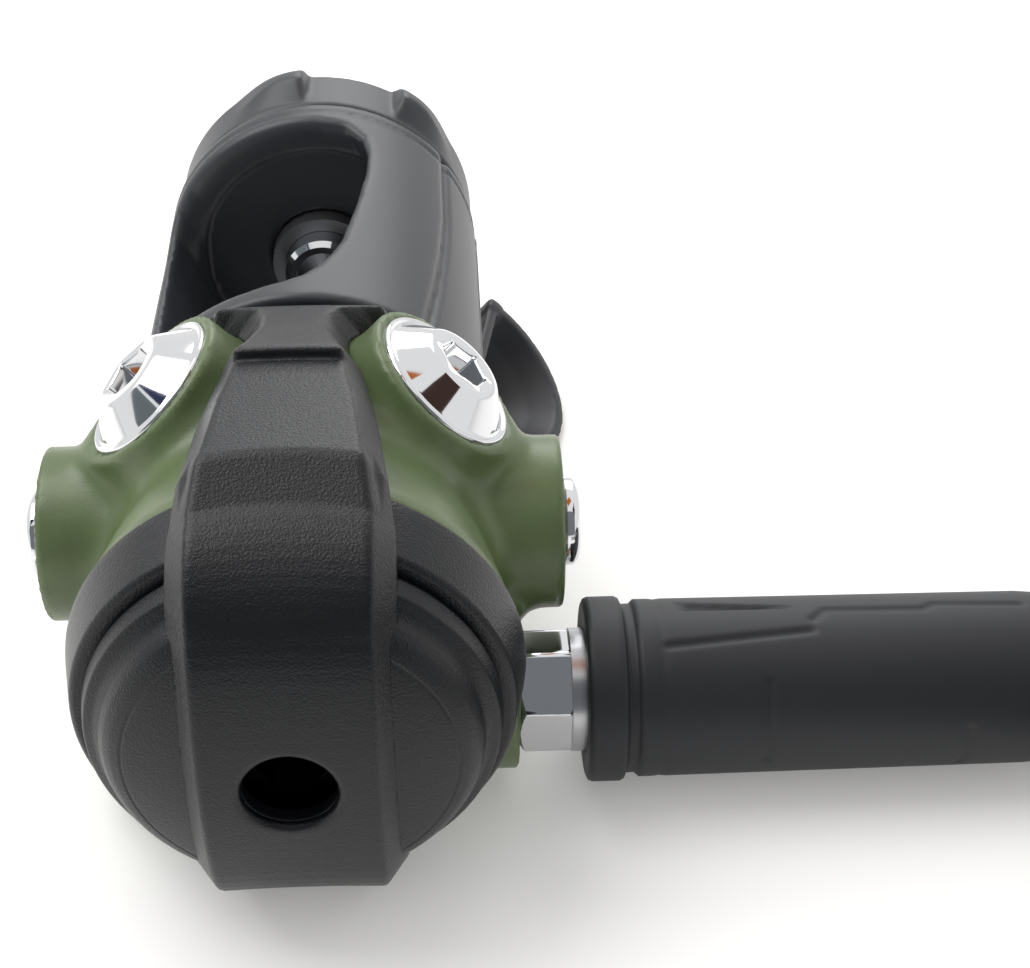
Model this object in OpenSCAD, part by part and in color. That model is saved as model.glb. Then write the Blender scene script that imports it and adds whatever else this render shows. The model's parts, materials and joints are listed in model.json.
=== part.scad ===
// Yoke-clamp diaphragm first stage of a scuba regulator, with one low-pressure hose.
// Millimetres. The body axis runs along Y: domed cap towards -Y, yoke and knob towards +Y, +Z up.
// Stations along Y count from the back edge of the cap ring; place() moves them to the part's frame.

/* [Cap] */
// Largest radius of the threaded cap ring
ring_r = 29; // [27:0.5:32]
// Radius of the cap ring at its front edge
ring_front_r = 27.3; // [26:0.1:28.5]
// Length of the cap ring along the axis
ring_len = 9; // [8:0.5:12]
// Radius of the first step of the dome cover
step_r = 25.8; // [24.5:0.1:26.5]
// Radius of the second step of the dome cover
shoulder_r = 23.4; // [22.5:0.1:24.2]
// Radius of the line where the shoulder meets the dome
dome_edge_r = 20; // [18:0.5:22]
// How far the dome stands in front of the ring's back edge
dome_reach = 22; // [20:0.5:24]
// Radius of the hole in the middle of the dome
dome_hole_r = 5.75; // [4:0.25:7]
// Wall of the dome cover
dome_wall = 2; // [1.5:0.1:2.5]

/* [Strap] */
// Width of the protective strap over the dome
strap_w = 23; // [18:0.5:26]
// Width of the strap's tail between the high-pressure plugs
strap_tail_w = 13; // [9:0.5:16]
// Height of the strap over the ring, from the axis
strap_top = 30.2; // [29.6:0.1:32]
// Height of the strap's raised saddle, from the axis
strap_saddle = 33; // [32:0.1:35]
// Cover of the strap over the front of the dome
strap_cover = 1.2; // [0.8:0.1:2]

/* [Body] */
// Length of the manifold body behind the cap ring
body_len = 44.4; // [42:0.2:50]
// Radius of the body at the cap ring
hub_front_r = 28; // [26:0.2:28.6]
// Radius of the body at its back shoulder
hub_back_r = 21.5; // [20:0.2:23]
// Radius of the side port bosses
side_boss_r = 12; // [10:0.2:13]
// Distance of the side port faces from the axis
side_reach = 35.1; // [33:0.1:38]
// Station of the side ports
side_y = 27.6; // [24:0.2:29]
// Radius of the high-pressure port bosses
high_boss_r = 11; // [10.5:0.1:12]
// Distance of the high-pressure port faces from the axis
high_reach = 29; // [28:0.1:32]
// Station of the high-pressure ports
high_y = 32.6; // [30:0.2:34]
// Angle of the high-pressure ports above the horizontal
high_angle = 47; // [40:1:52]
// Radius of the lower port bosses
low_boss_r = 10.5; // [9.5:0.1:11.5]
// Distance of the lower port faces from the middle plane
low_reach = 28.4; // [26:0.1:31]

/* [Valve] */
// Radius of the diaphragm
diaphragm_r = 22.3; // [21:0.1:22.6]
// Thickness of the diaphragm
diaphragm_t = 1.5; // [1:0.1:2.5]
// Opening of the valve when no gas pushes it shut
valve_lift = 0.6; // [0.3:0.1:1]
// Mean radius of the main spring
main_spring_r = 9.4; // [8:0.1:10.5]
// Wire diameter of the main spring
main_wire = 2.2; // [1.6:0.1:2.4]

/* [Yoke] */
// Outer radius of the yoke's sheath
yoke_r = 25.5; // [24.5:0.1:26.5]
// Inner radius between the yoke's arms
yoke_bore_r = 19.5; // [18.5:0.1:20]
// Clear length of the yoke's opening
yoke_open = 49; // [44:0.5:54]
// Half width of the yoke's windows
window_half = 18.5; // [16:0.1:19]
// Turn of the yoke's arms about the axis
yoke_turn = 28.5; // [0:0.5:45]
// Radius of the yoke screw
screw_r = 6.35; // [5:0.05:7]
// Radius of the knob between its lobes
knob_r = 25; // [23:0.5:26]
// Radius of the knob over its lobes
knob_lobe_r = 28; // [26.5:0.5:29]
// Length of the knob
knob_len = 11.9; // [10:0.1:16]

/* [Hose] */
// Outer diameter of the hose
hose_d = 11; // [10:0.1:11.2]
// Length of the rubber hose guard
guard_len = 84.5; // [70:0.5:100]
// Radius of the hose guard
guard_r = 12.2; // [11:0.1:12.6]
// Width across the flats of the hose fitting's hexagon
hex_af = 14.5; // [13:0.5:17]
// Width across the flats of the swivel nut
nut_af = 17; // [16:0.5:19]

/* [Dust cap] */
// Radius of the dust cap's rim
dust_r = 17; // [14:0.5:18]
// Depth of the dust cap
dust_depth = 9; // [7:0.5:10]

/* [Hidden] */
$fn = 96;

// Small gaps: a seated face, a turning fit and a plain clearance
seat_gap = 0.05;
run_gap = 0.06;
free_gap = 0.3;
edge = 0.8;
over = 1;

// Part frame: the strap's underside rests on the ground, the origin is below the middle
axis_h = strap_top;
front_end = dome_reach + strap_cover;
yoke_front = body_len + 1.9;
yoke_base = 4.7;
yoke_end_wall = 6.7;
window_front = yoke_front + yoke_base + 1;
window_back = window_front + yoke_open;
yoke_back = window_back + yoke_end_wall - 1;
knob_gap = 0.6;
knob_front = yoke_back + knob_gap;
knob_back = knob_front + knob_len;
frame_y = (knob_back - front_end) / 2;

// Stations of the valve train
spigot_len = 7;
spigot_r = 24.6;
counterbore_r = diaphragm_r + 0.1;
diaphragm_seat = 3;
diaphragm_front = diaphragm_seat - diaphragm_t;
chamber_r = 11;
chamber_end = 27;
seat_end = 33;
high_bore_r = 8.5;
high_bore_end = 40;
retainer_r = 10;
plug_flange = 2;
skirt_in_r = 18.5;
spring_tube_r = 15;
adjuster_r = 12.5;
adjuster_len = 5;
spring_front = -12;
spring_tube_front = spring_front - adjuster_len;
pad_t = 1.5;
pad_r = 11.5;
pin_r = 1.1;
orifice_r = 1.9;
seat_r = 6;
stem_r = 2.2;
poppet_head = 1.8;
poppet_front = seat_end + valve_lift;

// Ports: 7/16-20 high pressure and 3/8-24 low pressure
high_thread_r = 5.55;
feed_thread_r = 4.76;
feed_plug_head_r = 6.2;
feed_plug_head = 2.5;
high_plug_rim_r = 9.7;
high_plug_face_r = 5.5;
high_plug_h = 4.2;
low_y = 12;
low_z = -17.4;
boss_setback = 0.5;

// Inlet, for the standard 230 bar yoke valve outlet
inlet_bore_r = 5.5;
inlet_nose_r = 8.7;
inlet_hex = 25;
inlet_hex_len = 5;
inlet_face = yoke_front + yoke_base + inlet_hex_len + 4.5;

// Hose fitting and route, points in the part's frame
hose_r = hose_d / 2;
hex_len = 6.2;
guard_x = low_reach + hex_len + 1;
ferrule_len = 20;
ferrule_r = 8.5;
hose_start = guard_x + 0.2;
hose_exit = [119, -36, 12.8];
hose_route = [
    hose_exit, [127, -36, 12.2], [133, -36, 10.9], [138, -36, 9.2], [143, -36, 7.5], [149, -36, 6.1],
    [157, -36, 5.5]
];
coil_centre = [157, -97, 0];
coil_start_r = 61;
coil_pitch = 12;
coil_turns = 1.5;
coil_climb = [270, 450];
coil_reverse = 360;
coil_layer = 11.7;
loop_rings = 24;
tail_route = [
    [142, -152, 17], [133, -151.6, 16.2], [124, -150.6, 14.2], [115, -149.4, 12], [106, -148.4, 10.6],
    [97, -148, 10], [87, -148, 10]
];
tail_end = tail_route[len(tail_route) - 1];
end_ferrule_len = 18;
end_ferrule_r = 8.2;
nut_len = 15;
nut_back = 3;
nut_thread_r = 6.75;
stem_neck_r = 4.2;

// Dust cap, lying against the ground beside the yoke, and its moulded strap
dust_pos = [28.4, 93, -17.3];
dust_tilt = [0, 45, -10];
dust_cut = 4;
dust_wall = 2.2;
dust_ring_in = 16.25;
dust_ring_out = 21;
dust_ring_t = 1.5;
dust_strap_angle = -38;
dust_strap_w = 7;
dust_strap_t = 1.8;
dust_strap_r = yoke_r + 1;
dust_right = dust_pos[0] + dust_r * norm([cos(dust_tilt[1]) * cos(dust_tilt[2]), sin(dust_tilt[2])]);
neck_r = 16;

feed_plug_reach = side_reach + feed_plug_head;
frame_x = (dust_right - feed_plug_reach) / 2;

green = "#5B6B33";
black = "#2B2C2F";
rubber = "#36373A";
sheath = "#3A3C40";
chrome = "#D8DADC";
steel = "#A9ACB0";
brass = "#C9B27A";
seal = "#1E1E20";

// Frames: from the axis frame to the part, along Y, along a radius, and along X at a lower port
module place() translate([-frame_x, -frame_y, axis_h]) children();
module along_y(y = 0) translate([0, y, 0]) rotate([-90, 0, 0]) children();
module along_radius(angle, y) translate([0, y, 0]) rotate([0, 90 - angle, 0]) children();
module along_x(side, y, z) translate([0, y, z]) rotate([0, side * 90, 0]) children();
module both_high() for (a = [high_angle, 180 - high_angle]) along_radius(a, high_y) children();
module both_sides() for (s = [-1, 1]) along_x(s, side_y, 0) children();
module both_low() for (s = [-1, 1]) along_x(s, low_y, low_z) children();

// Points of an arc about (cx, cy)
function arc(cx, cy, r, from, to, steps = 10) =
    [for (i = [0:steps]) let (a = from + (to - from) * i / steps) [cx + r * cos(a), cy + r * sin(a)]];
function unit(v) = v / norm(v);

// A ring of square section between two radii, from z to z + h
module washer(r_in, r_out, z, h) translate([0, 0, z]) difference() {
    cylinder(r = r_out, h = h);
    translate([0, 0, -over]) cylinder(r = r_in, h = h + 2 * over);
}
module o_ring(r, wire_r, z) translate([0, 0, z]) rotate_extrude() translate([r, 0]) circle(wire_r, $fn = 24);
module hexagon(af, h) cylinder(r = af / sqrt(3), h = h, $fn = 6);

// A round boss that flares into what carries it, from the axis to its face
module flared_boss(r, reach, root, flare) rotate_extrude() polygon(concat(
    [[0, 0], [r + flare, 0]],
    arc(r + flare, root + flare, flare, 270, 180),
    arc(r - edge, reach - edge, edge, 0, 90, 4),
    [[0, reach]]
));

// A tube swept along points, with one up direction for each point and the directions of its two end faces
function along(p, i, head, tail) =
    i == 0 ? unit(head) : i == len(p) - 1 ? unit(tail) : unit(p[i + 1] - p[i - 1]);
function tube_ring(p, i, t, r, sides, up) =
    let (s = unit(cross(t, up)), n = cross(s, t))
    [for (k = [0:sides - 1]) p[i] + r * (cos(360 * k / sides) * s + sin(360 * k / sides) * n)];
module swept_tube(p, r, sides, ups, head, tail) {
    last = len(p) - 1;
    points = [for (i = [0:last]) each tube_ring(p, i, along(p, i, head, tail), r, sides, ups[i])];
    walls = [for (i = [0:last - 1], k = [0:sides - 1])
        let (a = i * sides + k, b = i * sides + (k + 1) % sides)
        each [[a, a + sides, b], [b, a + sides, b + sides]]];
    first_cap = [for (k = [1:sides - 2]) [0, k, k + 1]];
    end = last * sides;
    last_cap = [for (k = [1:sides - 2]) [end, end + k + 1, end + k]];
    polyhedron(points, concat(first_cap, walls, last_cap));
}

// Least gap between stretches of a tube that lie more than skip points apart
function least_gap(p, r, skip) =
    min([for (i = [0:len(p) - 1 - skip], j = [i + skip:len(p) - 1]) norm(p[i] - p[j])]) - 2 * r;

// A helical spring along z, one unbroken tube of hexagonal wire
function helix(r, length, turns, steps) =
    [for (i = [0:turns * steps]) let (a = 360 * i / steps)
        [r * cos(a), r * sin(a), length * i / (turns * steps)]];
module coil_spring(name, r, wire, length, turns) {
    steps = 8;
    path = helix(r, length - wire, turns, steps);
    ups = [for (q = path) [q[0], q[1], 0]];
    echo(str(name, " least gap"), least_gap(path, wire / 2, steps - 1));
    last = len(path) - 1;
    translate([0, 0, wire / 2])
        swept_tube(path, wire / 2, 6, ups, path[1] - path[0], path[last] - path[last - 1]);
}

// Outer form of the body: a hub turned about the axis, with flared bosses for six ports
module body_form() {
    along_y() rotate_extrude() polygon(concat(
        [[0, -spigot_len], [spigot_r, -spigot_len], [spigot_r, seat_gap], [hub_front_r, seat_gap]],
        [[hub_front_r, 3], [25.5, 14], [24, 26], [hub_back_r + 1.5, 38]],
        arc(hub_back_r - 2, body_len - 2, 2, 0, 90, 4),
        [[neck_r, body_len], [neck_r, yoke_front], [0, yoke_front]]
    ));
    intersection() {
        along_y(seat_gap) cylinder(r = 2 * side_reach, h = body_len - boss_setback - seat_gap);
        union() {
            both_sides() flared_boss(side_boss_r, side_reach, 18, 4);
            both_high() flared_boss(high_boss_r, high_reach, 17, 4);
            both_low() flared_boss(low_boss_r, low_reach, 14, 1.4);
        }
    }
}
module body_cavities() {
    along_y() {
        translate([0, 0, -spigot_len - over]) cylinder(r = counterbore_r, h = spigot_len + over + diaphragm_seat);
        translate([0, 0, diaphragm_seat - over]) cylinder(r = skirt_in_r, h = 3.5 + over);
        cylinder(r = chamber_r, h = chamber_end);
        cylinder(r = seat_r + seat_gap, h = seat_end + over);
        translate([0, 0, seat_end]) cylinder(r = high_bore_r, h = high_bore_end - seat_end + over);
        translate([0, 0, high_bore_end]) cylinder(r = retainer_r, h = yoke_front);
    }
    both_sides() translate([0, 0, chamber_r - over]) cylinder(r = feed_thread_r, h = side_reach);
    both_low() translate([0, 0, 6]) cylinder(r = feed_thread_r, h = low_reach);
    for (s = [-1, 1]) translate([9 * s, low_y, low_z]) cylinder(r = 2.5, h = 10);
    both_high() {
        translate([0, 0, 15]) cylinder(r = high_thread_r, h = high_reach);
        translate([0, 0, high_reach - edge]) cylinder(r = high_plug_rim_r + 0.1, h = high_reach);
    }
    for (a = [high_angle, 180 - high_angle]) along_radius(a, high_y + 1.9)
        translate([0, 0, 7]) cylinder(r = 1.5, h = 9);
}
module body() color(green) place() difference() {
    body_form();
    body_cavities();
}

// Threaded ring that clamps the spring body to the manifold
module cap_ring() color(black) place() along_y() rotate_extrude() polygon([
    [spigot_r + seat_gap, 0], [ring_r - 0.4, 0], [ring_r, -0.4], [ring_r - 0.15, -1.6],
    [ring_front_r + 0.2, -ring_len + 0.5], [ring_front_r - 0.4, -ring_len],
    [skirt_in_r + 4.3, -ring_len], [skirt_in_r + 4.3, -spigot_len - 1],
    [spigot_r + seat_gap, -spigot_len - 1]
]);

// Metal body of the main spring: its skirt clamps the diaphragm, its tube holds the adjuster
module spring_body() color(steel) place() along_y() rotate_extrude() polygon([
    [skirt_in_r, diaphragm_front], [diaphragm_r - 0.1, diaphragm_front], [diaphragm_r - 0.1, -spigot_len],
    [spigot_r - 0.2, -spigot_len], [spigot_r - 0.2, -spigot_len - 1], [spring_tube_r, -spigot_len - 1],
    [spring_tube_r, spring_tube_front], [adjuster_r + seat_gap, spring_tube_front],
    [adjuster_r + seat_gap, -spigot_len + 2], [skirt_in_r, -spigot_len + 2]
]);

// Stations of the dome cover, in front of the ring
cover_back = -ring_len - seat_gap;
step_y = -12.6;
shoulder_y = -14;
dome_y = -18;
dome_sag = dome_reach + dome_y;
dome_sphere = (dome_edge_r * dome_edge_r + dome_sag * dome_sag) / (2 * dome_sag);
dome_half = asin(dome_edge_r / dome_sphere);
function dome_arc(offset, from_r) =
    let (r = dome_sphere - offset, c = -dome_reach + dome_sphere)
    [for (a = [asin(from_r / r):1:dome_half]) [r * sin(a), c - r * cos(a)]];
function dome_outline(offset, hole) = concat(
    dome_arc(offset, hole),
    [[dome_edge_r - offset * 0.4, dome_y + offset * 0.9], [shoulder_r - offset, shoulder_y + offset * 0.5]]
);

// Stepped and domed cover in front of the ring, with the hole for water and the adjusting key
module dome_cover() color(black) place() along_y() rotate_extrude() polygon(concat(
    dome_outline(0, dome_hole_r),
    [[shoulder_r + 0.6, step_y - 0.6], [step_r - 0.5, step_y], [step_r, cover_back - 0.9], [step_r - 0.5, cover_back]],
    [[skirt_in_r + 4.1, cover_back], [skirt_in_r + 4.1, -spigot_len - 1.2], [skirt_in_r + 2.4, -spigot_len - 1.2]],
    [[skirt_in_r + 2.4, step_y + 0.6]],
    [for (i = [len(dome_outline(dome_wall, dome_hole_r)) - 1:-1:0]) dome_outline(dome_wall, dome_hole_r)[i]]
));

// Side outline of the strap over the dome: a flat front arc with a shoulder arc above and below
front_arc_r = dome_sphere + 2;
front_arc_y = front_arc_r - front_end;
join_z = 16;
join_angle = 180 - asin(join_z / front_arc_r);
shoulder_arc_r = (strap_top - join_z) / (1 - sin(join_angle));
shoulder_arc_y = front_arc_y + (front_arc_r - shoulder_arc_r) * cos(join_angle);
shoulder_arc_z = strap_top - shoulder_arc_r;
strap_end_y = 3;
saddle_front = 1.5;
saddle_back = 20;
strap_tail_y = 42.5;
strap_tail_z = 26.5;
strap_under = 20;
module strap_side() polygon(concat(
    arc(shoulder_arc_y, shoulder_arc_z, shoulder_arc_r, 90, join_angle, 12),
    arc(front_arc_y, 0, front_arc_r, join_angle, 360 - join_angle, 16),
    arc(shoulder_arc_y, -shoulder_arc_z, shoulder_arc_r, 360 - join_angle, 270, 12),
    [[strap_end_y, -strap_top], [strap_end_y, -strap_under], [-2, -strap_under], [-2, strap_under]],
    [[strap_tail_y, strap_under], [strap_tail_y, strap_tail_z], [strap_tail_y - 1, strap_tail_z + 1]],
    [[saddle_back + 6, strap_saddle - 1.4], [saddle_back + 1, strap_saddle - 0.9], [saddle_back, strap_saddle]],
    [[saddle_front + 1, strap_saddle], [saddle_front, strap_saddle - 0.4], [-1.6, strap_top + 0.3]]
));
module strap_plan() polygon([
    [-strap_w / 2, -30], [strap_w / 2, -30], [strap_w / 2, 4], [strap_tail_w / 2 + 1.5, saddle_back],
    [strap_tail_w / 2, saddle_back + 8], [4, strap_tail_y + over], [-4, strap_tail_y + over],
    [-strap_tail_w / 2, saddle_back + 8], [-strap_tail_w / 2 - 1.5, saddle_back], [-strap_w / 2, 4]
]);
module cap_envelope() along_y() rotate_extrude() polygon(concat(
    [[0, -dome_reach]], dome_outline(0, 1),
    [[shoulder_r + 0.6, step_y - 0.6], [step_r - 0.5, step_y], [step_r, cover_back - 0.9], [step_r, -ring_len]],
    [[ring_front_r - 0.4, -ring_len], [ring_front_r + 0.2, -ring_len + 0.5], [ring_r - 0.15, -1.6]],
    [[ring_r, -0.4], [ring_r, 0.4], [0, 0.4]]
));

// Bumper strap moulded over the cap, from under the ring, over the dome, to the yoke
module cover_strap() color(black) place() difference() {
    intersection() {
        rotate([90, 0, 90]) translate([0, 0, -strap_w]) linear_extrude(2 * strap_w) strap_side();
        translate([0, 0, -2 * strap_top]) linear_extrude(4 * strap_top) strap_plan();
    }
    cap_envelope();
    body_form();
    along_y(-front_end - over) cylinder(r = dome_hole_r, h = 2 * dome_wall);
}

// Spring adjuster: a threaded ring with a hexagon socket right through
module spring_adjuster() color(black) place() along_y(spring_tube_front) difference() {
    cylinder(r = adjuster_r, h = adjuster_len);
    translate([0, 0, -over]) hexagon(9, adjuster_len + 2 * over);
}
module main_spring() color(steel) place() along_y(spring_front)
    coil_spring("main spring", main_spring_r, main_wire, diaphragm_front - pad_t - spring_front, 3.5);
module spring_pad() color(steel) place() along_y(diaphragm_front - pad_t) {
    cylinder(r = pad_r, h = pad_t);
    translate([0, 0, -2]) cylinder(r = main_spring_r - main_wire, h = 2);
}

// Rubber diaphragm with a rolled convolution inside its clamped rim
module diaphragm() color(seal) place() along_y(diaphragm_front) rotate_extrude() polygon(concat(
    [[0, 0], [pad_r + 0.5, 0]], arc(15, 0, 2.5, 180, 0, 12), [[diaphragm_r, 0], [diaphragm_r, diaphragm_t]],
    [[skirt_in_r - 0.4, diaphragm_t]], arc(15, diaphragm_t, 2.5, 0, 180, 12), [[0, diaphragm_t]]
));

// Lifter: a dished plate behind the diaphragm with a long pin through the seat
module valve_lifter() color(steel) place() along_y(diaphragm_seat) {
    cylinder(r = pad_r - 1.5, h = 1.6);
    cylinder(r = 4, h = 4);
    cylinder(r = pin_r, h = poppet_front - diaphragm_seat);
}
module valve_seat() color(brass) place() along_y() {
    washer(orifice_r, seat_r, chamber_end, seat_end - chamber_end - 1);
    translate([0, 0, seat_end - 1]) rotate_extrude()
        polygon([[orifice_r, 0], [seat_r, 0], [orifice_r + 0.6, 1], [orifice_r, 1]]);
}
module valve_poppet() color(brass) place() along_y(poppet_front) {
    cylinder(r = 4.2, h = poppet_head);
    cylinder(r = stem_r, h = high_bore_end + 0.6 - poppet_front);
}
module poppet_spring() color(steel) place() along_y(poppet_front + poppet_head)
    coil_spring("poppet spring", 3.2, 0.7, high_bore_end - 1 - poppet_front - poppet_head, 2.5);

// Balance plug: carries the tail of the poppet and lets gas past through four holes
module balance_plug() color(brass) place() along_y(high_bore_end) difference() {
    union() {
        cylinder(r = retainer_r - 0.2, h = plug_flange);
        translate([0, 0, -1]) cylinder(r = 4.6, h = 1 + plug_flange);
        cylinder(r = 4.6, h = plug_flange + 1.2);
    }
    translate([0, 0, -1 - over]) cylinder(r = stem_r + run_gap, h = plug_flange + 2.4);
    for (a = [0:90:270]) rotate(a) translate([7.2, 0, -over]) cylinder(r = 1.1, h = plug_flange + 2 * over, $fn = 24);
}
module balance_o_ring() color(seal) place() along_y(high_bore_end + plug_flange + 0.55) o_ring(8.9, 0.55, 0);

// High-pressure plugs: a coned head with a hexagon socket and a threaded shank
module high_pressure_plugs() color(chrome) place() both_high() difference() {
    rotate_extrude() polygon([
        [0, 17], [high_thread_r - seat_gap, 17], [high_thread_r - seat_gap, high_reach - edge],
        [high_plug_rim_r, high_reach - edge], [high_plug_rim_r, high_reach], [high_plug_rim_r - 0.5, high_reach + 0.4],
        [high_plug_face_r + 0.3, high_reach + high_plug_h - edge], [high_plug_face_r, high_reach + high_plug_h - edge + 0.2],
        [0, high_reach + high_plug_h - edge + 0.2]
    ]);
    translate([0, 0, high_reach]) hexagon(6.4, high_plug_h);
    translate([0, 0, high_reach - edge - 0.9]) o_ring_groove(high_thread_r, 1);
}
module o_ring_groove(r, w) washer(r - w, r + over, 0, w);
module high_pressure_o_rings() color(seal) place() both_high() o_ring(high_thread_r - 0.52, 0.45, high_reach - edge - 0.4);

// Low-pressure plugs in both side ports and the free lower port
module feed_plug(reach) difference() {
    rotate_extrude() polygon([
        [0, 14], [feed_thread_r - seat_gap, 14], [feed_thread_r - seat_gap, reach + seat_gap],
        [feed_plug_head_r, reach + seat_gap], [feed_plug_head_r, reach + feed_plug_head - 0.9],
        [feed_plug_head_r - 0.9, reach + feed_plug_head], [0, reach + feed_plug_head]
    ]);
    translate([0, 0, reach - 1.5]) hexagon(4, feed_plug_head + 2);
    translate([0, 0, reach - 1]) o_ring_groove(feed_thread_r, 0.9);
}
module low_pressure_plugs() color(chrome) place() {
    both_sides() feed_plug(side_reach);
    along_x(-1, low_y, low_z) feed_plug(low_reach);
}
module low_pressure_o_rings() color(seal) place() {
    both_sides() o_ring(feed_thread_r - 0.47, 0.4, side_reach - 0.55);
    along_x(-1, low_y, low_z) o_ring(feed_thread_r - 0.47, 0.4, low_reach - 0.55);
}

// Inlet retainer: threads into the body through the yoke and carries the inlet face
retainer_start = high_bore_end + plug_flange + 1.3;
hex_back = yoke_front + yoke_base;
filter_len = 6;
filter_end = inlet_face - 2.2;
module inlet_retainer() color(chrome) place() along_y() difference() {
    union() {
        translate([0, 0, retainer_start]) cylinder(r = retainer_r - seat_gap, h = inlet_face - retainer_start - 4);
        translate([0, 0, hex_back]) intersection() {
            hexagon(inlet_hex, inlet_hex_len);
            cylinder(r1 = inlet_hex / 2 + 3, r2 = inlet_hex / 2 + 0.6, h = inlet_hex_len);
        }
        cylinder(r = inlet_nose_r, h = inlet_face);
    }
    translate([0, 0, -over]) cylinder(r = inlet_bore_r - 1, h = inlet_face + 2 * over);
    translate([0, 0, filter_end - filter_len]) cylinder(r = inlet_bore_r, h = filter_len + 10);
    translate([0, 0, -over]) cylinder(r = retainer_r + over, h = retainer_start + over);
    translate([0, 0, filter_end + 0.1]) cylinder(r = inlet_bore_r + 0.5, h = 0.8);
}

// Sintered inlet filter and the ring that keeps it in
module inlet_filter() color(brass) place() along_y(filter_end - filter_len) rotate_extrude() polygon([
    [0, 2], [inlet_bore_r - 0.1, 0], [inlet_bore_r - 0.1, filter_len], [0, filter_len]
]);
module filter_clip() color(steel) place() along_y(filter_end + 0.15) difference() {
    washer(inlet_bore_r - 1, inlet_bore_r + 0.4, 0, 0.7);
    translate([0, -0.8, -over]) cube([10, 1.6, 3]);
}

// Metal yoke: base plate, two arms and a tapped end wall, overmoulded by the sheath
arm_in_r = 21;
arm_out_r = 24;
sheath_skin = 1.5;
end_plate = 5;
module window_slab(half, from_y, to_y) rotate([0, -yoke_turn, 0]) translate([-half, from_y, -60])
    cube([2 * half, to_y - from_y, 120]);
module yoke_frame_form() {
    along_y(yoke_front + edge) washer(retainer_r + seat_gap, arm_out_r, 0, yoke_base - edge);
    along_y(window_back + sheath_skin) washer(screw_r + run_gap, arm_out_r, 0, end_plate - sheath_skin);
    along_y(window_back - 2.5) washer(screw_r + run_gap, screw_r + 2.2, 0, 2.5 + 2 * sheath_skin);
    difference() {
        along_y(yoke_front + 2) washer(arm_in_r, arm_out_r, 0, window_back + end_plate - yoke_front - 3);
        window_slab(window_half + sheath_skin, 0, knob_back);
    }
}
module yoke_frame() color(steel) place() yoke_frame_form();

// Window outline, round towards the body and with small corners towards the knob
window_corner = 7;
module window_outline() polygon(concat(
    arc(0, window_front + window_half, window_half, 180, 360, 24),
    arc(window_half - window_corner, window_back - window_corner, window_corner, 0, 90, 6),
    arc(window_corner - window_half, window_back - window_corner, window_corner, 90, 180, 6)
));
module yoke_sheath() color(sheath) place() difference() {
    along_y() rotate_extrude() polygon(concat(
        arc(yoke_r - 1.2, yoke_front + 1.2, 1.2, -90, 0, 4),
        arc(yoke_r - 1.5, yoke_back - 1.5, 1.5, 0, 90, 4),
        [[screw_r + 4, yoke_back], [screw_r + 4, window_back], [yoke_bore_r, window_back]],
        [[yoke_bore_r, hex_back - 0.4], [yoke_bore_r - 3, hex_back - 0.4], [yoke_bore_r - 3, yoke_front]]
    ));
    rotate([0, -yoke_turn, 0]) translate([0, 0, -60]) linear_extrude(120) window_outline();
    yoke_frame_form();
}

// Yoke screw with a socket for its swivelling pad, and the lobed knob that turns it
screw_tip = window_back - 6.5;
pad_tip_r = 4.4;
pad_tip_h = 1.4;
socket_depth = 3;
knob_socket = 9;
module yoke_screw() color(chrome) place() along_y(screw_tip) difference() {
    union() {
        cylinder(r1 = screw_r - 0.8, r2 = screw_r, h = 0.8);
        translate([0, 0, 0.8]) cylinder(r = screw_r, h = knob_front + knob_socket - screw_tip - 0.8);
    }
    translate([0, 0, -over]) cylinder(r = pad_tip_r + run_gap, h = socket_depth + over);
}
module screw_pad() color(steel) place() along_y(screw_tip - pad_tip_h) rotate_extrude() polygon([
    [0, 0], [1.2, 0], [pad_tip_r, pad_tip_h], [pad_tip_r, pad_tip_h + socket_depth - run_gap],
    [0, pad_tip_h + socket_depth - run_gap]
]);
lobe_count = 6;
lobe_half = 11.5;
lobe_root = 19;
lobe_phase = 47;
module knob_outline() {
    circle(knob_r);
    for (k = [0:lobe_count - 1]) rotate(-lobe_phase + 360 / lobe_count * k) intersection() {
        circle(knob_lobe_r);
        polygon([
            [0, 0], [(knob_r - 1) * cos(lobe_root), -(knob_r - 1) * sin(lobe_root)],
            [knob_lobe_r, -knob_lobe_r * sin(lobe_half)], [knob_lobe_r, knob_lobe_r * sin(lobe_half)],
            [(knob_r - 1) * cos(lobe_root), (knob_r - 1) * sin(lobe_root)]
        ]);
    }
}
module knob() color(sheath) place() along_y(knob_front) difference() {
    intersection() {
        linear_extrude(knob_len) knob_outline();
        rotate_extrude() polygon(concat(
            [[0, 0], [knob_lobe_r - 0.6, 0], [knob_lobe_r, 0.6]],
            arc(knob_lobe_r - 6, knob_len - 6, 6, 0, 60, 8),
            [[12, knob_len - 0.3], [9, knob_len], [0, knob_len]]
        ));
    }
    translate([0, 0, -over]) cylinder(r = screw_r, h = knob_socket + over);
    translate([0, 0, -over]) cylinder(r = 11.4, h = over + 0.4);
}
module knob_washer() color(seal) place() along_y(knob_front - knob_gap + free_gap)
    washer(screw_r + run_gap, 11, 0, knob_gap - free_gap + 0.4);

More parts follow.
